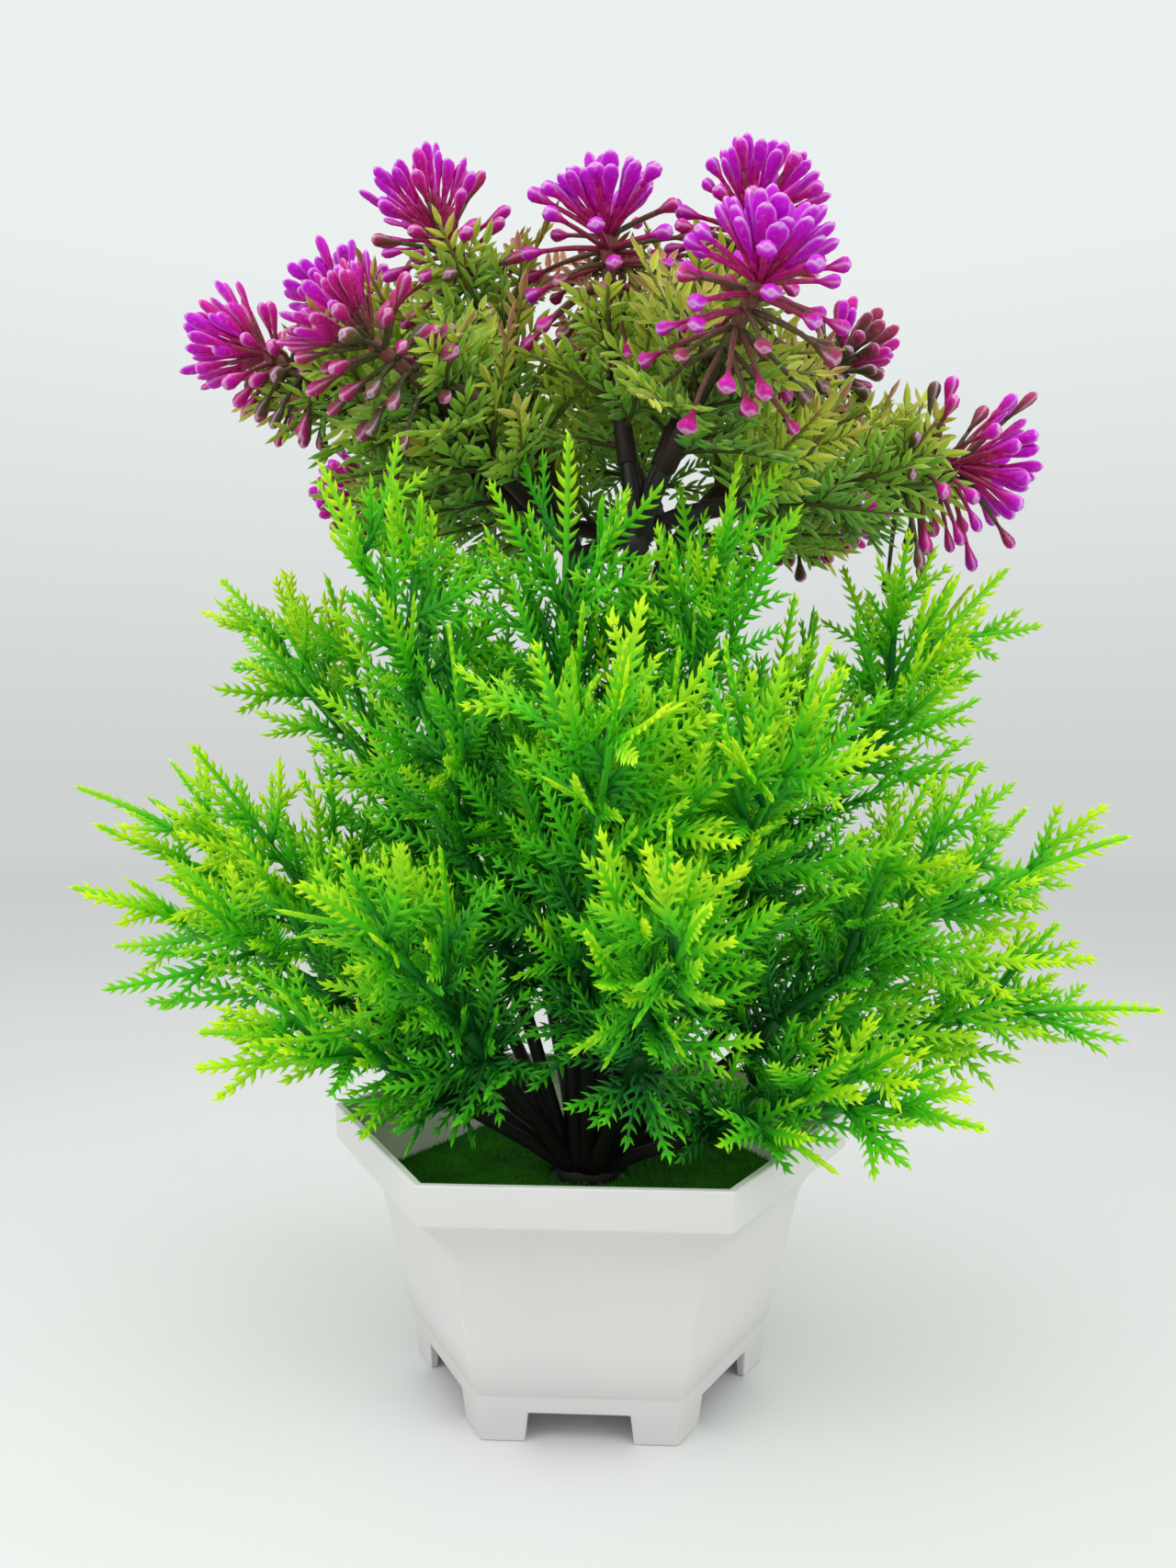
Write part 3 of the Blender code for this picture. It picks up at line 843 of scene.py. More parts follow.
class TREE_OT_pot(bpy.types.Operator):
    """Build the six-sided footed pot"""

    bl_idname = "tree.pot"
    bl_label = "Pot"

    def execute(self, context):
        settings = context.scene.tree_pot
        pot = linked("pot_start", self.shell(settings.wall))
        cutters = [self.foot_cutter(k) for k in range(POT_SIDES // 2)]
        for cutter in cutters:
            step = pot.modifiers.new("feet", "BOOLEAN")
            step.operation, step.solver, step.object = "DIFFERENCE", "EXACT", cutter
        bevel = pot.modifiers.new("edges", "BEVEL")
        bevel.width, bevel.segments, bevel.limit_method = settings.edge, 3, "ANGLE"
        bevel.angle_limit, bevel.harden_normals = math.radians(22), True
        for face in pot.data.polygons:
            face.use_smooth = True
        piece = finished("pot_shell", pot)
        for cutter in cutters:
            bpy.data.objects.remove(cutter)
        self.paint(piece.data, settings)
        place(piece, STAND, ["pot"], "pot_plastic")
        return {"FINISHED"}

    def shell(self, thickness):
        """The pot before its feet are cut: its recess underneath, its outside, and its inside."""
        outside = pot_outline()
        wall = thickness / math.cos(math.pi / POT_SIDES)
        floor_top = POT_FLOOR + thickness
        recess = [(outside[0][0] - wall, POT_FLOOR), (outside[0][0] - wall, 0.0)]
        inside = [(r - wall, z) for r, z in reversed(outside) if z > floor_top]
        inside.append((outside[1][0] - wall, floor_top))
        return loft_mesh("pot_start", [hexagon(r, z) for r, z in recess + outside + inside])

    def foot_cutter(self, number):
        """A bar across the whole pot, which cuts the gaps between the feet of two opposite sides."""
        ends = [[(x * MM, y, z * MM) for x, z in NOTCH] for y in (RIM_RADIUS, -RIM_RADIUS)]
        cutter = linked(f"foot_cutter_{number}", loft_mesh("foot_cutter", ends))
        cutter.data.transform(Matrix.Rotation(math.pi * number / (POT_SIDES // 2), 4, "Z"))
        return cutter

    def paint(self, mesh, settings):
        mesh.materials.clear()
        mesh.materials.append(pot_finish("white_moulded_plastic", tuple(settings.colour)))
        # a lighter copy of the pot plastic for the inside: painted light, in a cream tone
        mesh.materials.append(pot_finish("cream_inner_plastic", tuple(settings.inner_colour_with_painted_light)))
        for face in mesh.polygons:
            inward = face.normal.x * face.center.x + face.normal.y * face.center.y < 0
            if inward and face.center.z > MOSS_TOP - INNER_START:
                face.material_index = 1


def repaint(node, material):
    """Gives a carried-over CAD node a better material."""
    kept = frame["nodes"][node]
    if not kept.material_slots:
        kept.data.materials.append(material)
    for slot in kept.material_slots:
        slot.material = material


# the flock's hole round the root, and how far it lies under the mat's top and past its corners
FLOCK_HOLE = 9.3 * MM
FLOCK_SINK = 0.1 * MM
FLOCK_OVERLAP = 0.5 * MM


class TREE_OT_moss(bpy.types.Operator):
    """Finish the filler block and stand flock fibres on the moss mat"""

    bl_idname = "tree.moss"
    bl_label = "Filler and moss"

    def execute(self, context):
        settings = context.scene.tree_moss
        repaint("filler_block", plaster_finish())
        flock = flock_finish(tuple(settings.dark), tuple(settings.light))
        repaint("moss_mat", flock)
        height = MOSS_TOP - FLOCK_SINK
        points = hexagon(FLOCK_HOLE, height) + hexagon(MOSS_CORNER + FLOCK_OVERLAP, height)
        after = [(s + 1) % POT_SIDES for s in range(POT_SIDES)]
        faces = [(s, s + POT_SIDES, after[s] + POT_SIDES, after[s]) for s in range(POT_SIDES)]
        base = bpy.data.meshes.new("flock_base")
        base.from_pydata(points, [], faces)
        fibre = fibre_shape()
        piece = grown(
            "moss_pile",
            base,
            flocking_tree(),
            Fibre=fibre,
            Material=flock,
            Density=settings.density,
            Length=settings.pile,
            Thickness=settings.thickness,
            Lean=0.55,
            Seed=4,
        )
        bpy.data.objects.remove(fibre)
        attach(piece, STAND)
        return {"FINISHED"}


# ---- dark stems ------------------------------------------------------------------------------------------


# the hub's outline up from its seat: radius, and height over the moss, in mm
HUB_OUTLINE = ((5.4, -18), (6.4, -3.5), (7.4, -1.5), (7.8, 0.2), (7.0, 2.2), (5.6, 4.0), (2.6, 5.2))
ARM_STEPS = 12
FORK_STEPS = 8


def arm_path(start, pos, aim, steps):
    """From a start to the foot of a peg, which it meets along the peg's own line."""
    bend = pos - aim * (pos - start).length / 2
    return curve(start, start.lerp(bend, 0.66), pos.lerp(bend, 0.66), pos, steps)


class TREE_OT_stems(bpy.types.Operator):
    """Build the root hub with its arms, and the three trunk stems with their forks"""

    bl_idname = "tree.stems"
    bl_label = "Dark stems"

    def execute(self, context):
        settings = context.scene.tree_stems
        bark = bark_finish(tuple(settings.colour))
        self.finish("root_arms", self.root(settings), bark, "root_hub")
        for index, node in enumerate(TRUNK_NODES):
            self.finish(node + "_skin", self.trunk(settings, index), bark, node)
        return {"FINISHED"}

    def root(self, settings):
        sprig = Sprig()
        path = [Vector((0, 0, MOSS_TOP + z * MM)) for _, z in HUB_OUTLINE]
        sprig.tube(path, [r * MM for r, _ in HUB_OUTLINE], [0.0] * len(path), 20, EAST, 0.06)
        centre = Vector((0, 0, MOSS_TOP + 2.5 * MM))
        for index in range(1, FERN_COUNT + 1):
            pos, aim = joint_line(f"spray_{index:02d}_swivel")
            away = Vector((pos.x, pos.y, 0)).normalized()
            path = arm_path(centre + away * 5.5 * MM, pos, aim, ARM_STEPS)
            radii = [settings.arm_radius * (1.35 - 0.35 * min(1.0, k / 5)) for k in range(ARM_STEPS + 1)]
            radii[-1] *= 0.98
            self.pegged(sprig, path, radii, aim, 0.10)
        return sprig

    def trunk(self, settings, index):
        sprig = Sprig()
        path = trunk_path(index)
        radii = []
        for k in range(TRUNK_STEPS + 1):
            knuckle = 0.12 * max(0.0, math.cos(FULL_TURN * k / 13)) ** 8
            radii.append(settings.trunk_radius * (1 + 0.2 * k / TRUNK_STEPS + knuckle))
        sprig.tube(path, radii, [0.0] * len(path), 14, EAST, 0.12)
        top = path[-1] - (path[-1] - path[-2]).normalized() * 2 * MM
        for number in range(1, BRANCH_COUNT + 1):
            pos, aim = joint_line(f"branch_{number:02d}_swivel")
            if nearest_trunk(pos) == index:
                fork = arm_path(top, pos, aim, FORK_STEPS)
                self.pegged(sprig, fork, taper(2.4, 0.5, FORK_STEPS), aim, 0.08)
        return sprig

    def pegged(self, sprig, path, radii, aim, grooves):
        """An arm or a fork, with its peg."""
        path = path + [path[-1] + aim * PEG_LENGTH]
        sprig.tube(path, radii + [PEG_RADIUS], [0.0] * len(path), 12, UP, grooves)

    def finish(self, name, sprig, material, node):
        mesh = sprig.mesh(name)
        mesh.materials.append(material)
        place(linked(name, mesh), STAND, [node], "stem_plastic")


# ---- what grows ------------------------------------------------------------------------------------------


class Spray:
    """A piece that grows: its settings, its sprig, and dice that fall the same each time."""

    def __init__(self, settings, index, seed):
        self.settings = settings
        self.index = index
        self.random = random.Random(seed + index)
        self.sprig = Sprig()

    def sleeve(self, mouth, aim, radii, ages):
        """The sleeve that fits over a peg, and narrows to the stem at its far end."""
        path = [mouth + aim * s * MM for s in (0, 0.4, 8.6, 9.6, 12.2)]
        self.sprig.tube(path, [r * MM for r in radii], ages, 12)

    def wobble(self, amount):
        """A chance vector, as far as an amount each way."""
        return Vector([self.random.uniform(-amount, amount) for _ in range(3)])


def leafed(name, sprig, tree, leaf, leaf_material, stem_material, variation, seed):
    """A sprig's finished piece, with a leaf on each of its marked points."""
    return grown(
        name,
        sprig.mesh(name + "_sprig"),
        tree,
        Leaf=leaf,
        Leaf_Material=leaf_material,
        Stem_Material=stem_material,
        Size_Variation=variation,
        Seed=seed,
    )


# ---- fern sprays -----------------------------------------------------------------------------------------


# shoots that would end lower than this are turned upwards
MOSS_CLEARANCE = 62 * MM
# the way that most of the flat shoots lie open to
OPEN_TO = Vector((0.1, -1, 0.5))
# painted shade: shoots are darkest where they end this near to the trunk, inside the plant, and brightest
# from this much further out
SHADE_RADIUS = 22 * MM
SHADE_DEPTH = 62 * MM
# shares along a spray's stem at which long side limbs leave it, with one more on upright sprays
LIMB_SHARES = (0.04, 0.15, 0.28, 0.42, 0.56)
TALL_LIMB_SHARES = (*LIMB_SHARES, 0.64)


class Fern(Spray):
    """Grows one fern spray: a stem with side limbs, shoots all round them, and rows of needles."""

    def __init__(self, settings, index):
        super().__init__(settings, index, 1000)

    def needles(self, path, normal, start, young, scale=1.0):
        """Needles in pairs along a shoot, from a share of its length to its end, shorter near the end."""
        settings, dice = self.settings, self.random
        line = Line(path)
        at = line.total * start + 0.5 * MM
        while at < line.total - 0.4 * MM:
            share = at / line.total
            spot, direction = line.at(at)
            flat = across(direction, normal)[0]
            left = min(1.0, (line.total - at) / (9 * MM))
            age = between(young, share)
            length = settings.needle_length * (0.5 + 0.5 * left) * scale * (1.0 - 0.32 * age)
            wide = settings.needle_width * (0.78 + 0.32 * age) * (0.7 + 0.3 * left)
            for side in (-1, 1):
                out = flat.cross(direction) * side
                spread = math.radians(58 - 6 * share + dice.uniform(-8, 8))
                aim = turned(direction, out, spread) + flat * dice.uniform(-0.2, 0.2)
                size = (length * dice.uniform(0.85, 1.1), wide, 0.65 * MM)
                self.sprig.leaf(spot + out * 0.25 * MM, aim, flat * side, size, age)
            at += settings.needle_spacing * (0.85 + 0.15 * left) * dice.uniform(0.92, 1.08)
        direction = (path[-1] - path[-2]).normalized()
        size = (settings.needle_length * 0.55, settings.needle_width * 0.7, 0.5 * MM)
        self.sprig.leaf(path[-1] - direction * 0.6 * MM, direction, normal, size, young[1])

    def bent(self, base, direction, forward, length, steps):
        """The path of a shoot that bends forward, and mostly droops a little."""
        sag = UP * length * self.random.uniform(-0.02, 0.10)
        middle = base + direction * length * 0.5
        end = base + direction * length * 0.82 + forward * length * 0.24 - sag
        return bow(base, middle, end, steps)

    def shoot(self, base, direction, forward, length, normal, young):
        """One side shoot, darkened inside the plant by painted shade, with needles and with its own smaller
        shoots.
        """
        end = base + direction * length
        # painted shade: the shoot's ages, and so its green, are lowered the nearer to the trunk it ends
        outer = min(1.0, max(0.0, (math.hypot(end.x, end.y) - SHADE_RADIUS) / SHADE_DEPTH))
        young = (young[0] * (0.45 + 0.6 * outer), young[1] * (0.54 + 0.58 * outer))
        steps = 6
        path = self.bent(base, direction, forward, length, steps)
        self.rib(path, 0.80, young, steps, 4, normal)
        self.needles(path, normal, 0.06, young)
        if length > 12 * MM:
            self.twigs(Line(path), normal, young)

    def twig(self, base, direction, forward, length, normal, young):
        """A smaller shoot, with needles only."""
        steps = 3
        path = self.bent(base, direction, forward, length, steps)
        self.rib(path, 0.62, young, steps, 3, normal)
        self.needles(path, normal, 0.06, young, 0.9)

    def rib(self, path, radius, young, steps, sides, normal):
        ages = [max(0.0, between(young, k / steps) - 0.05) for k in range(steps + 1)]
        self.sprig.tube(path, taper(radius, radius * 0.45, steps), ages, sides, normal)

    def twigs(self, line, normal, young):
        """Smaller shoots to the left and the right of a shoot by turns."""
        dice = self.random
        at, side = line.total * 0.18, dice.choice((-1, 1))
        while at < line.total * 0.52:
            spot, onward = line.at(at)
            flat = across(onward, normal)[0]
            out = flat.cross(onward) * side
            out = (out + flat * dice.uniform(-0.6, 0.6)).normalized()
            aim = (onward * 0.78 + out * 0.62).normalized()
            share = at / line.total
            size = (0.42 * (1 - share) * line.total + 4.5 * MM) * dice.uniform(0.85, 1.15)
            begin = between(young, share)
            late = min(1.0, begin + 0.5 * (young[1] - young[0]) + 0.04)
            self.twig(spot, aim, onward, size, (flat + out * 0.3).normalized(), (begin, late))
            at += 5.8 * MM * dice.uniform(0.8, 1.2)
            side = -side

    def grow(self):
        mouth, aim, path = fern_line(self.index)
        self.sleeve(mouth, aim, (1.75, 1.9, 1.8, 1.6, 1.2), [0.0, 0.0, 0.02, 0.02, 0.02])
        total = Line(path).total
        stem = path[::2]
        count = len(stem) - 1
        self.sprig.tube(stem, taper(1.15, 0.65, count), ripening(0.02, 0.6, count), 6)
        line = Line([mouth + aim * FOLIAGE_START] + path)
        size = self.settings.shoot_length * min(1.0, 0.35 + total / (150 * MM))
        tall = (path[-1] - mouth).normalized().z > 0.75
        bare = min(24 * MM, 0.24 * total) * (0.7 if tall else 1.0)
        reach = across(aim, UP)[0]
        self.limb(line, size, bare, (0.0, 0.30), reach)
        self.bare_tip(path, bare + 6 * MM, (0.45, 1.0), 1.0)
        turn = self.random.uniform(0, FULL_TURN)
        for share in TALL_LIMB_SHARES if tall else LIMB_SHARES:
            self.side_limb(line, share, turn, size, reach)
            turn += GOLDEN_ANGLE
        self.skirt(mouth, aim, reach)
        return self.sprig

    def skirt(self, mouth, aim, reach):
        """Shoots that spread back from the sleeve's mouth and hide the arm."""
        dice = self.random
        one, two = across(aim, reach)
        for k in range(9):
            out = turned(one, two, GOLDEN_ANGLE * k + dice.uniform(-0.3, 0.3))
            direction = turned(aim, out, math.radians(dice.uniform(82, 122)))
            length = dice.uniform(13, 24) * MM
            spot = mouth + aim * dice.uniform(1, 9) * MM
            clear = (spot.z - MOSS_CLEARANCE) / length
            if direction.z < -clear:
                direction = Vector((direction.x, direction.y, -max(-0.2, clear))).normalized()
            normal = (aim + out * dice.uniform(-0.4, 0.4)).normalized()
            self.shoot(spot, direction, aim, length, normal, (0.0, dice.uniform(0.35, 0.7)))

    def bare_tip(self, path, length, young, scale):
        """Two rows of needles on the end of a limb, which lie flat to upright, with a chance tilt."""
        tip = [spot for spot in path if (spot - path[-1]).length < length]
        direction = (tip[-1] - tip[0]).normalized()
        tilt = self.random.uniform(-0.5, 0.9)
        flat = direction.cross(UP)
        if flat.length < 0.3:
            flat = Vector((0, 1, 0))
        self.needles(tip, across(direction, flat.normalized() + UP * tilt)[0], 0.0, young, scale)

    def side_limb(self, line, share, turn, size, reach):
        """A long branch of a spray that leaves its stem and runs out in a tip of its own."""
        dice = self.random
        spot, forward = line.at(line.total * share)
        out = turned(*across(forward, reach), turn)
        if out.z < -0.2:
            out = -out
        aim = turned(forward, out, math.radians(dice.uniform(26, 42)))
        length = (line.total * (1 - share) * 0.58 + 11 * MM) * dice.uniform(0.8, 1.1)
        late = (aim + forward * 0.35).normalized()
        tip = spot + aim * length * 0.66 + late * length * 0.34
        steps = 16
        path = curve(spot, spot + aim * length / 3, tip - late * length / 3, tip, steps)
        self.sprig.tube(path, taper(0.95, 0.5, steps), ripening(0.05, 0.5, steps), 5)
        bare = min(18 * MM, 0.36 * length)
        self.limb(Line(path), size * 0.62, bare, (0.06 + 0.2 * share, 0.34 + 0.2 * share), reach)
        self.bare_tip(path, bare + 4 * MM, (0.42, 0.98), 0.95)

    def limb(self, line, size, bare, ages, reach):
        """Side shoots all round a stem, up to where it runs out in a bare tip."""
        settings, dice = self.settings, self.random
        around = dice.uniform(0, FULL_TURN)
        at = 0.0
        while at < line.total - bare:
            t = at / line.total
            spot, forward = line.at(at)
            out = turned(*across(forward, reach), around)
            direction = turned(forward, out, math.radians(56 - 16 * t + dice.uniform(-15, 12)))
            fullness = (1 - t) ** (0.6 - 0.32 * max(0.0, forward.z))
            envelope = fullness * (0.7 + 0.3 * min(1.0, t / 0.2))
            length = (size * envelope + 2 * MM) * dice.choice((0.6, 0.8, 0.95, 1.1, 1.3))
            lowest = max(-0.65 if t < 0.22 else -0.25, (MOSS_CLEARANCE - spot.z) / length)
            if direction.z < lowest:
                direction = Vector((direction.x, direction.y, lowest)).normalized()
            normal = (forward.cross(out) + out * dice.uniform(-0.35, 0.35)).normalized()
            if dice.random() < 0.6:
                normal = across(direction, OPEN_TO + self.wobble(0.35))[0]
            begin = between(ages, t)
            # painted light: a shoot on the upper side of its limb gets up to 0.10 more age, and so a lighter
            # green, on top of its own dark to yellow-green gradient
            late = min(1.12, begin + 0.44 + 0.1 * t + 0.10 * max(0.0, out.z) + dice.uniform(-0.18, 0.28))
            self.shoot(spot, direction, forward, length, normal, (begin, late))
            around += GOLDEN_ANGLE
            at += settings.shoot_spacing * dice.uniform(0.85, 1.15) * (1 + 0.3 * t)


class TREE_OT_ferns(bpy.types.Operator):
    """Grow the fern sprays on their sleeves"""

    bl_idname = "tree.ferns"
    bl_label = "Fern sprays"

    def execute(self, context):
        settings = context.scene.tree_ferns
        green = fern_finish(tuple(settings.deep), tuple(settings.middle), tuple(settings.tip))
        tree, needle = leafing_tree(), needle_shape()
        for index in range(1, FERN_COUNT + 1):
            sprig = Fern(settings, index).grow()
            piece = leafed(f"fern_foliage_{index:02d}", sprig, tree, needle, green, green, 0.14, index)
            body = f"fern_spray_{index:02d}"
            place(piece, body, [body], "fern_plastic")
        bpy.data.objects.remove(needle)
        return {"FINISHED"}


# ---- flower branches -------------------------------------------------------------------------------------


# the heads whose lower whorls stand clear of the leaves, and how much bare stem they and the others have
OPEN_HEADS = (4, 6)
OPEN_NECK, NECK = 20 * MM, 14 * MM
# how many fronds stand behind a head and beside it, and the heads that have more
BACK_FRONDS = 3
LEAFY_HEADS = {7: 6}


class Branch(Spray):
    """Grows one leafy flower branch: a stem with divided fronds all round it."""

    def __init__(self, settings, index):
        super().__init__(settings, index, 2000)

    def pinna(self, base, direction, length, normal, young):
        """A small side leaf: pairs of leaflets on a fine rib, and one at its end."""
        dice = self.random
        end = base + direction * length
        self.sprig.tube([base, end], [0.32 * MM, 0.2 * MM], young, 3, normal)
        side = direction.cross(normal).normalized()
        pairs = max(1, int(length / (2.5 * MM)))
        for k in range(pairs):
            share = (k + 0.55) / (pairs + 0.3)
            spot = base + direction * length * share
            size = (1.0 - 0.25 * share) * (0.7 + 0.3 * min(1.0, length / (9 * MM)))
            for way in (-1, 1):
                aim = direction * dice.uniform(0.6, 0.9) + side * way * 0.7
                aim += normal * dice.uniform(-0.25, 0.45)
                self.leaflet(spot, aim, normal, size, between(young, share))
        self.leaflet(end - direction * 0.6 * MM, direction, normal, 1.05, young[1])

    def leaflet(self, spot, aim, normal, size, age):
        settings = self.settings
        tilt = (normal + self.wobble(0.5)).normalized()
        scale = (settings.leaflet_length * size, settings.leaflet_width * size, 0.7 * MM)
        self.sprig.leaf(spot, aim, tilt, scale, max(0.0, min(1.0, age + self.random.uniform(-0.06, 0.06))))

    def frond(self, base, direction, length, normal, young):
        """A divided leaf: side leaves in pairs along a bowed rib, and single leaflets towards its end."""
        dice = self.random
        droop = normal * dice.uniform(-0.28, 0.12)
        sag = (droop + direction.cross(normal) * dice.uniform(-0.14, 0.14)) * length
        steps = 6
        path = [base + direction * length * t + sag * t * t for t in (k / steps for k in range(steps + 1))]
        ages = [0.1 + 0.5 * young[1] * k / steps for k in range(steps + 1)]
        self.sprig.tube(path, taper(0.75, 0.4, steps), ages, 4, normal)
        line = Line(path)
        at = line.total * 0.14
        while at < line.total * 0.96:
            spot, forward = line.at(at)
            share = at / line.total
            flat, side = across(forward, normal)
            age = between(young, share)
            for way in (-1, 1):
                aim = (forward * 0.75 + side * way * 0.70 + flat * dice.uniform(-0.3, 0.5)).normalized()
                if share < 0.55:
                    reach = (9.5 * MM * math.sin(math.pi * (0.3 + 0.7 * share))) * dice.uniform(0.8, 1.15)
                    self.pinna(spot, aim, reach, flat, (age, min(1.0, age + 0.12)))
                else:
                    self.leaflet(spot, aim, flat, 1.12 - 0.25 * share, age)
            at += (4.4 if share < 0.5 else 2.7) * MM
        forward = (path[-1] - path[-2]).normalized()
        self.leaflet(path[-1] - forward * MM, forward, normal, 1.0, young[1])

    def grow(self):
        mouth, aim, path = branch_line(self.index)
        self.sleeve(mouth, aim, (2.0, 2.2, 2.05, 1.8, 1.45), [0.05] * 5)
        count = len(path) - 1
        self.sprig.tube(path, taper(1.4, 0.3, count), [0.1] * (count + 1), 8)
        line = Line([mouth + aim * FOLIAGE_START] + path)
        self.back_fronds(line, self.fronds(line))
        return self.sprig

    def fronds(self, line):
        """Fronds all round the stem. Gives the angle that the next one would grow at."""
        dice = self.random
        around = dice.uniform(0, FULL_TURN)
        at = 0.0
        while at < line.total - (OPEN_NECK if self.index in OPEN_HEADS else NECK):
            t = at / line.total
            spot, forward = line.at(at)
            out = turned(*across(forward, UP), around)
            direction = turned(forward, out, math.radians(60 - 14 * t + dice.uniform(-8, 8)))
            if direction.z < -0.1:
                direction = Vector((direction.x, direction.y, -0.1 + dice.uniform(-0.12, 0.05))).normalized()
            away = (spot - CROWN_CENTRE).normalized()
            normal = (away * 0.6 + UP * 0.7 + forward * 0.4).normalized()
            flat = normal - direction * normal.dot(direction)
            if flat.length < 0.2:
                flat = forward - direction * forward.dot(direction)
            length = self.settings.frond_length * dice.uniform(0.62, 1.0) * (1 - 0.30 * t)
            # painted light: fronds that point upwards get higher ages, and so lighter, yellower leaves, and
            # fronds that point down darker ones, on top of the leaves' own gradient
            lift = max(-0.2, min(0.4, 0.45 * direction.z))
            begin = 0.14 + 0.25 * lift + dice.uniform(0, 0.14)
            late = 0.50 + lift + dice.uniform(-0.14, 0.26)
            self.frond(spot, direction, length, flat.normalized(), (begin, max(0.2, min(1.0, late))))
            around += GOLDEN_ANGLE
            at += 3.0 * MM
        return around

    def back_fronds(self, line, around):
        """Fronds that stand up behind the head and beside it."""
        dice = self.random
        for _ in range(LEAFY_HEADS.get(self.index, BACK_FRONDS)):
            spot, forward = line.at(line.total - dice.uniform(11, 20) * MM)
            around += GOLDEN_ANGLE
            out = turned(*across(forward, UP), around)
            direction = turned(forward, out, math.radians(dice.uniform(36, 62)))
            direction = Vector((direction.x, max(direction.y, 0.15), max(direction.z, 0.05))).normalized()
            normal = across(direction, Vector((dice.uniform(-0.4, 0.4), -1, 0.3)))[0]
            late = dice.choice((0.62, 0.78, 0.92, 1.1))
            length = self.settings.frond_length * dice.uniform(0.55, 0.85)
            self.frond(spot, direction, length, normal, (late - 0.34, late))


class TREE_OT_branches(bpy.types.Operator):
    """Grow the leafy flower branches on their sleeves"""

    bl_idname = "tree.branches"
    bl_label = "Flower branches"

    def execute(self, context):
        settings = context.scene.tree_leaves
        green, stem = leaf_finish(), rib_finish(tuple(settings.stem))
        tree, leaflet = leafing_tree(), leaflet_shape()
        for index in range(1, BRANCH_COUNT + 1):
            sprig = Branch(settings, index).grow()
            piece = leafed(f"branch_foliage_{index:02d}", sprig, tree, leaflet, green, stem, 0.15, 50 + index)
            place(piece, f"branch_{index:02d}", [f"flower_branch_{index:02d}"], "leaf_plastic")
        bpy.data.objects.remove(leaflet)
        return {"FINISHED"}


# ---- flower heads ----------------------------------------------------------------------------------------


class Head(Spray):
    """Grows one flower head: a tuft of broad clubs on top, and whorls of smaller ones below it."""

    def __init__(self, settings, index):
        super().__init__(settings, index, 3000)
        self.centre, outward = head_place(index)
        lift, self.spread, self.slim, self.maroon = HEADS[index - 1][3:]
        self.axis = (outward + UP * lift).normalized()
        self.across = across(self.axis, UP)

    def grow(self):
        stem = branch_line(self.index)[2]
        # down from the middle of the tuft, and on along the branch's stem
        line = Line([self.centre + self.axis * 1.5 * MM, self.centre] + stem[:8:-1])
        skin = [line.at(s * MM)[0] for s in (0, 2, 5, 9, 14, 18)]
        radii = [r * MM for r in (0.8, 1.7, 1.7, 1.6, 1.5, 1.35)]
        self.sprig.tube(skin, radii, [0.5, 0.48, 0.44, 0.38, 0.3, 0.15], 8)
        for number in range(self.settings.tuft):
            self.tuft_club(number)
        for number, (down, opening, count) in enumerate(WHORLS):
            self.whorl(number, line.at((down + 1.5) * MM)[0], opening, count)
        return self.sprig

    def club(self, start, aim, bend, length, size, age, stalk_age):
        """A club at the end of a curved stalk."""
        tip = start + aim * (length - size[0]) + bend
        middle = start + aim * (length - size[0]) * 0.55
        steps = 4
        path = bow(start, middle, tip, steps)
        ages = [max(0.0, stalk_age + (age - stalk_age) * 0.4 * k / steps) for k in range(steps + 1)]
        self.sprig.tube(path, taper(0.68, 0.2, steps), ages, 5, self.axis)
        onward = (path[-1] - path[-2]).normalized()
        self.sprig.leaf(path[-1] - onward * 0.5 * MM, onward, self.axis, size, age)

    def tuft_club(self, number):
        settings, dice, slim, maroon = self.settings, self.random, self.slim, self.maroon
        opening = (56 - 10 * slim) * math.sqrt((number + 0.5) / settings.tuft)
        open_by = math.radians(8 + opening + dice.uniform(-5, 5))
        out = turned(*self.across, GOLDEN_ANGLE * number + dice.uniform(-0.15, 0.15))
        length = settings.reach * dice.uniform(0.88, 1.1) * (1 + 0.18 * slim)
        swell = settings.club_length * dice.uniform(0.92, 1.15)
        wide = settings.club_width * (1 - 0.32 * slim) * dice.uniform(0.9, 1.1)
        age = 0.98 - maroon * dice.uniform(0.2, 2.0) - dice.choice((0, 0, 0.08, 0.2))
        aim = turned(self.axis, out, open_by)
        size = (swell, wide, wide * 0.62)
        self.club(self.centre, aim, self.axis * 0.6 * MM, length, size, age, 0.62 - maroon)

    def whorl(self, number, start, opening, count):
        """Clubs all round the stem. Lower whorls droop more, and more of their clubs lack the dye."""
        settings, dice, slim, maroon = self.settings, self.random, self.slim, self.maroon
        turn = dice.uniform(0, FULL_TURN)
        for k in range(count):
            around = turn + FULL_TURN * (k + dice.uniform(-0.2, 0.2)) / count
            open_by = math.radians(opening - 30 * slim + dice.uniform(-9, 9))
            aim = turned(self.axis, turned(*self.across, around), open_by)
            length = settings.reach * self.spread * dice.uniform(0.84, 1.12)
            swell = settings.bud_length * (1 + 0.75 * slim) * dice.uniform(0.85, 1.12)
            wide = settings.bud_width * (1 - 0.12 * slim) * dice.uniform(0.88, 1.1)
            side = 0.5 + 0.5 * math.cos(around - self.index * 1.7)
            age = 0.92 - 0.09 * number - maroon * 1.5 - 0.28 * side * dice.random()
            if dice.random() < 0.10 + 0.05 * number:
                age -= 0.42
            age = max(0.0, age)
            droop = -UP * length * (0.03 + 0.05 * number) * dice.uniform(0.5, 1.3)
            stalk_age = max(0.34 - 2 * maroon, age - 0.20)
            self.club(start, aim, droop, length, (swell, wide, wide * 0.9), age, stalk_age)


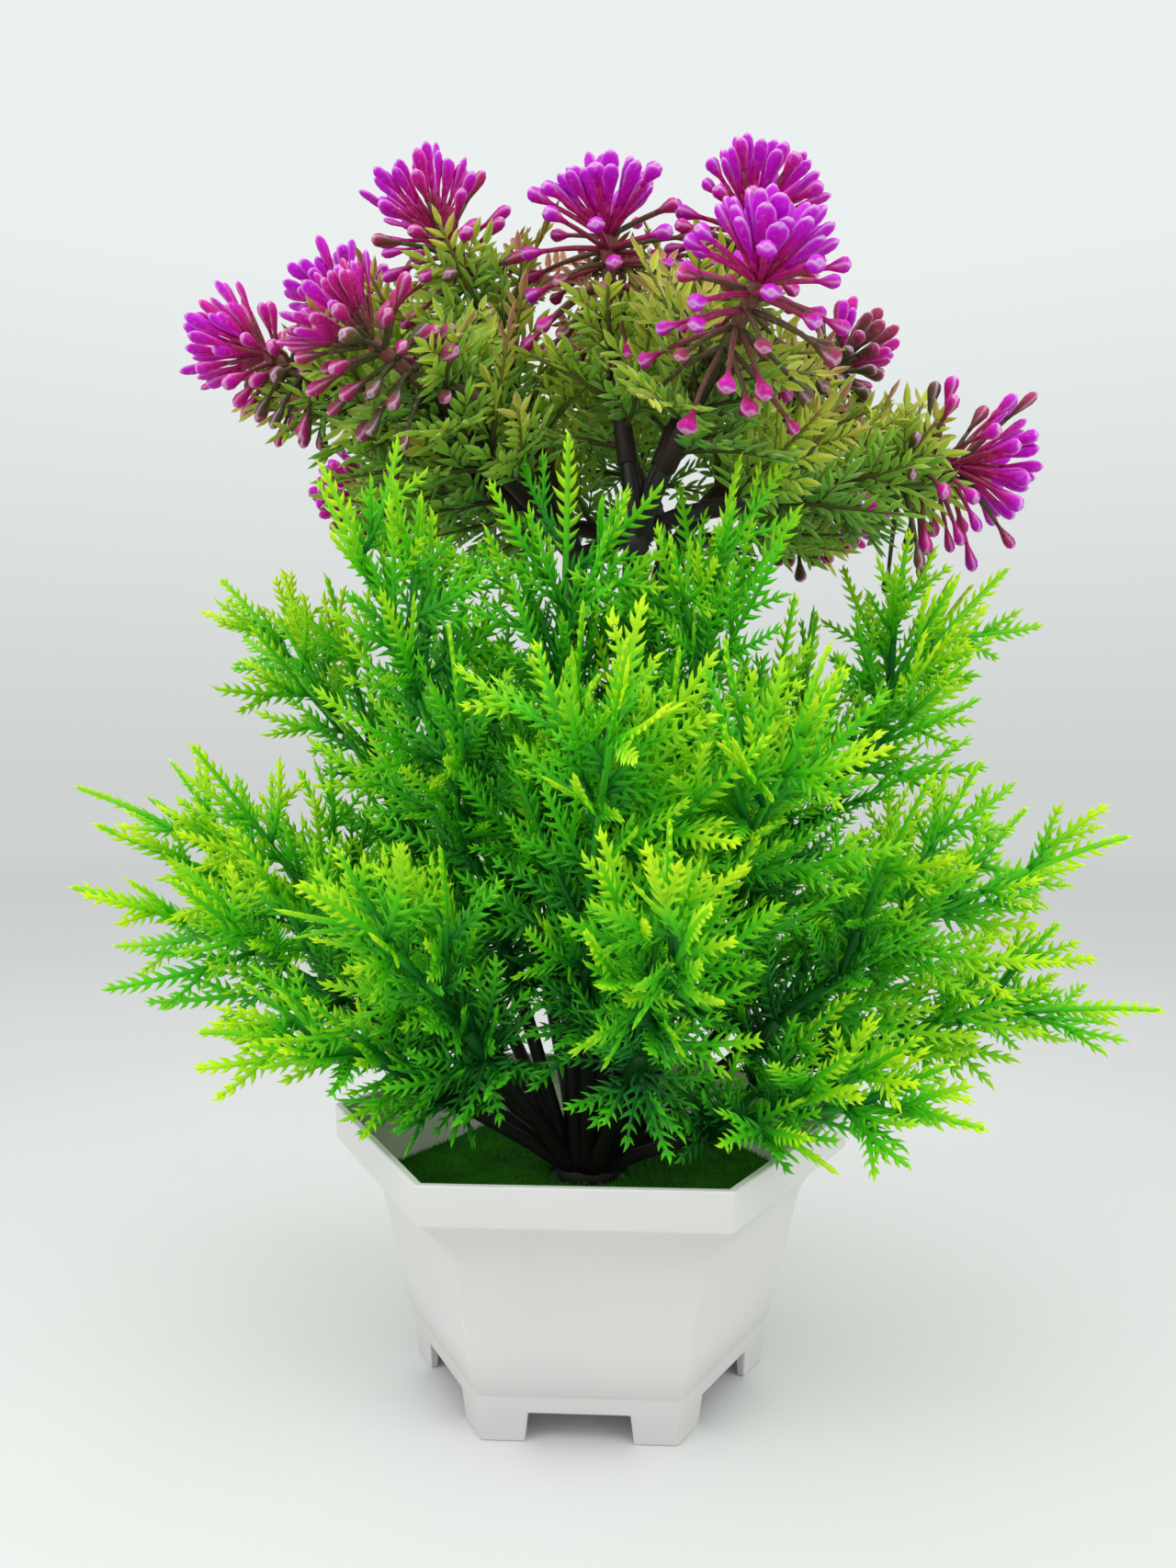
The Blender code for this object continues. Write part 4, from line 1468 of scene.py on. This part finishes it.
class TREE_OT_heads(bpy.types.Operator):
    """Grow the flower heads on the ends of their branches"""

    bl_idname = "tree.heads"
    bl_label = "Flower heads"

    def execute(self, context):
        settings = context.scene.tree_flowers
        dye = flower_finish(tuple(settings.bright), tuple(settings.stalk), tuple(settings.painted_highlight))
        tree, club = leafing_tree(), club_shape()
        for index in range(1, BRANCH_COUNT + 1):
            sprig = Head(settings, index).grow()
            piece = leafed(f"head_clubs_{index:02d}", sprig, tree, club, dye, dye, 0.08, 90 + index)
            place(piece, f"branch_{index:02d}", [f"flower_head_{index:02d}"], "flower_plastic")
        bpy.data.objects.remove(club)
        return {"FINISHED"}


# ---- stage -----------------------------------------------------------------------------------------------


FLOOR_HALF = 12.0
# painted light on the floor outwards from the middle, lighter near the pot as a painted pool of light and far
# off where the lamps' light falls away: how far, of a distance of 2.5 m, and how bright
FLOOR_PAINTED_LIGHT = ((0.03, 0.93), (0.07, 0.875), (0.14, 0.755), (0.28, 0.725), (0.95, 0.90))
# the sky's colours at the horizon and higher up
SKY = ((0.0, (0.612, 0.642, 0.632)), (0.42, (0.83, 0.875, 0.865)))
# name, place, breadth and power in watts of each soft light
LAMPS = (
    ("overhead", (-0.05, -0.15, 0.9), 0.9, 3.1),
    ("left_softbox", (-0.72, -0.45, 0.62), 0.7, 2.4),
    ("right_softbox", (0.72, -0.40, 0.62), 0.7, 2.2),
)
LAMP_TARGET = Vector((0, 0, 0.12))
CAMERA_PLACE = (0.013, -0.2487, 0.129)
CAMERA_TURN = (math.radians(90), 0, math.radians(3))


class TREE_OT_stage(bpy.types.Operator):
    """Set the floor, the soft light and the camera"""

    bl_idname = "tree.stage"
    bl_label = "Stage"

    def execute(self, context):
        settings = context.scene.tree_stage
        self.floor(tuple(settings.floor))
        for lamp in LAMPS:
            self.light(*lamp)
        self.sky(context.scene)
        data = bpy.data.cameras.new("camera")
        data.lens = settings.lens
        data.sensor_width = 36
        data.clip_start = 0.01
        camera = linked("camera", data)
        camera.location = CAMERA_PLACE
        camera.rotation_euler = CAMERA_TURN
        context.scene.camera = camera
        context.scene.view_settings.view_transform = "Standard"
        return {"FINISHED"}

    def floor(self, colour):
        mesh = bpy.data.meshes.new("floor")
        corners = [(x * FLOOR_HALF, y * FLOOR_HALF, 0) for x, y in ((-1, -1), (1, -1), (1, 1), (-1, 1))]
        mesh.from_pydata(corners, [], [(0, 1, 2, 3)])
        made = Finish("pale_floor")
        cloud = made.noise(6, 2)
        far = made.node("ShaderNodeVectorMath", {"operation": "LENGTH"}, {0: made.place()}, output="Value")
        stops = [(share, shaded(colour, bright)) for share, bright in FLOOR_PAINTED_LIGHT]
        # the floor's colour follows the rings of painted light above, by distance from the middle
        made.feed("Base Color", made.ramp(far * 0.4 + cloud * 0.015, *stops))
        made.feed("Roughness", cloud * 0.1 + 0.55)
        mesh.materials.append(made.material)
        linked("floor", mesh)

    def light(self, name, where, breadth, power):
        data = bpy.data.lights.new(name, "AREA")
        data.shape = "RECTANGLE"
        data.size = data.size_y = breadth
        data.energy = power
        lamp = linked(name, data)
        lamp.location = where
        lamp.rotation_euler = (LAMP_TARGET - lamp.location).to_track_quat("-Z", "Y").to_euler()

    def sky(self, scene):
        world = bpy.data.worlds.new("studio")
        world.use_nodes = True
        nodes, links = world.node_tree.nodes, world.node_tree.links
        direction = nodes.new("ShaderNodeTexCoord")
        part = nodes.new("ShaderNodeSeparateXYZ")
        ramp = nodes.new("ShaderNodeValToRGB")
        for stop, (height, colour) in zip(ramp.color_ramp.elements, SKY):
            stop.position, stop.color = height, (*colour, 1)
        links.new(direction.outputs["Generated"], part.inputs[0])
        links.new(part.outputs[2], ramp.inputs[0])
        links.new(ramp.outputs[0], nodes["Background"].inputs[0])
        scene.world = world


# ---- the add-on ------------------------------------------------------------------------------------------


class TREE_PT_panel(bpy.types.Panel):
    """The tree's settings and builders"""

    bl_idname = "TREE_PT_panel"
    bl_label = "Tabletop Tree"
    bl_space_type = "VIEW_3D"
    bl_region_type = "UI"
    bl_category = "Tree"

    def draw(self, context):
        for name, group, operator in PIECES:
            box = self.layout.box()
            for setting in group.__annotations__:
                box.prop(getattr(context.scene, name), setting)
            box.operator(operator.bl_idname)


PIECES = (
    ("tree_pot", PotSettings, TREE_OT_pot),
    ("tree_moss", MossSettings, TREE_OT_moss),
    ("tree_stems", StemSettings, TREE_OT_stems),
    ("tree_ferns", FernSettings, TREE_OT_ferns),
    ("tree_leaves", LeafSettings, TREE_OT_branches),
    ("tree_flowers", FlowerSettings, TREE_OT_heads),
    ("tree_stage", StageSettings, TREE_OT_stage),
)


def register():
    for name, group, operator in PIECES:
        bpy.utils.register_class(group)
        setattr(bpy.types.Scene, name, bpy.props.PointerProperty(type=group))
        bpy.utils.register_class(operator)
    bpy.utils.register_class(TREE_PT_panel)


def unregister():
    bpy.utils.unregister_class(TREE_PT_panel)
    for name, group, operator in reversed(PIECES):
        bpy.utils.unregister_class(operator)
        delattr(bpy.types.Scene, name)
        bpy.utils.unregister_class(group)


def main():
    register()
    for _, _, operator in PIECES:
        getattr(bpy.ops.tree, operator.bl_idname.split(".")[1])()


if __name__ == "__main__":
    main()
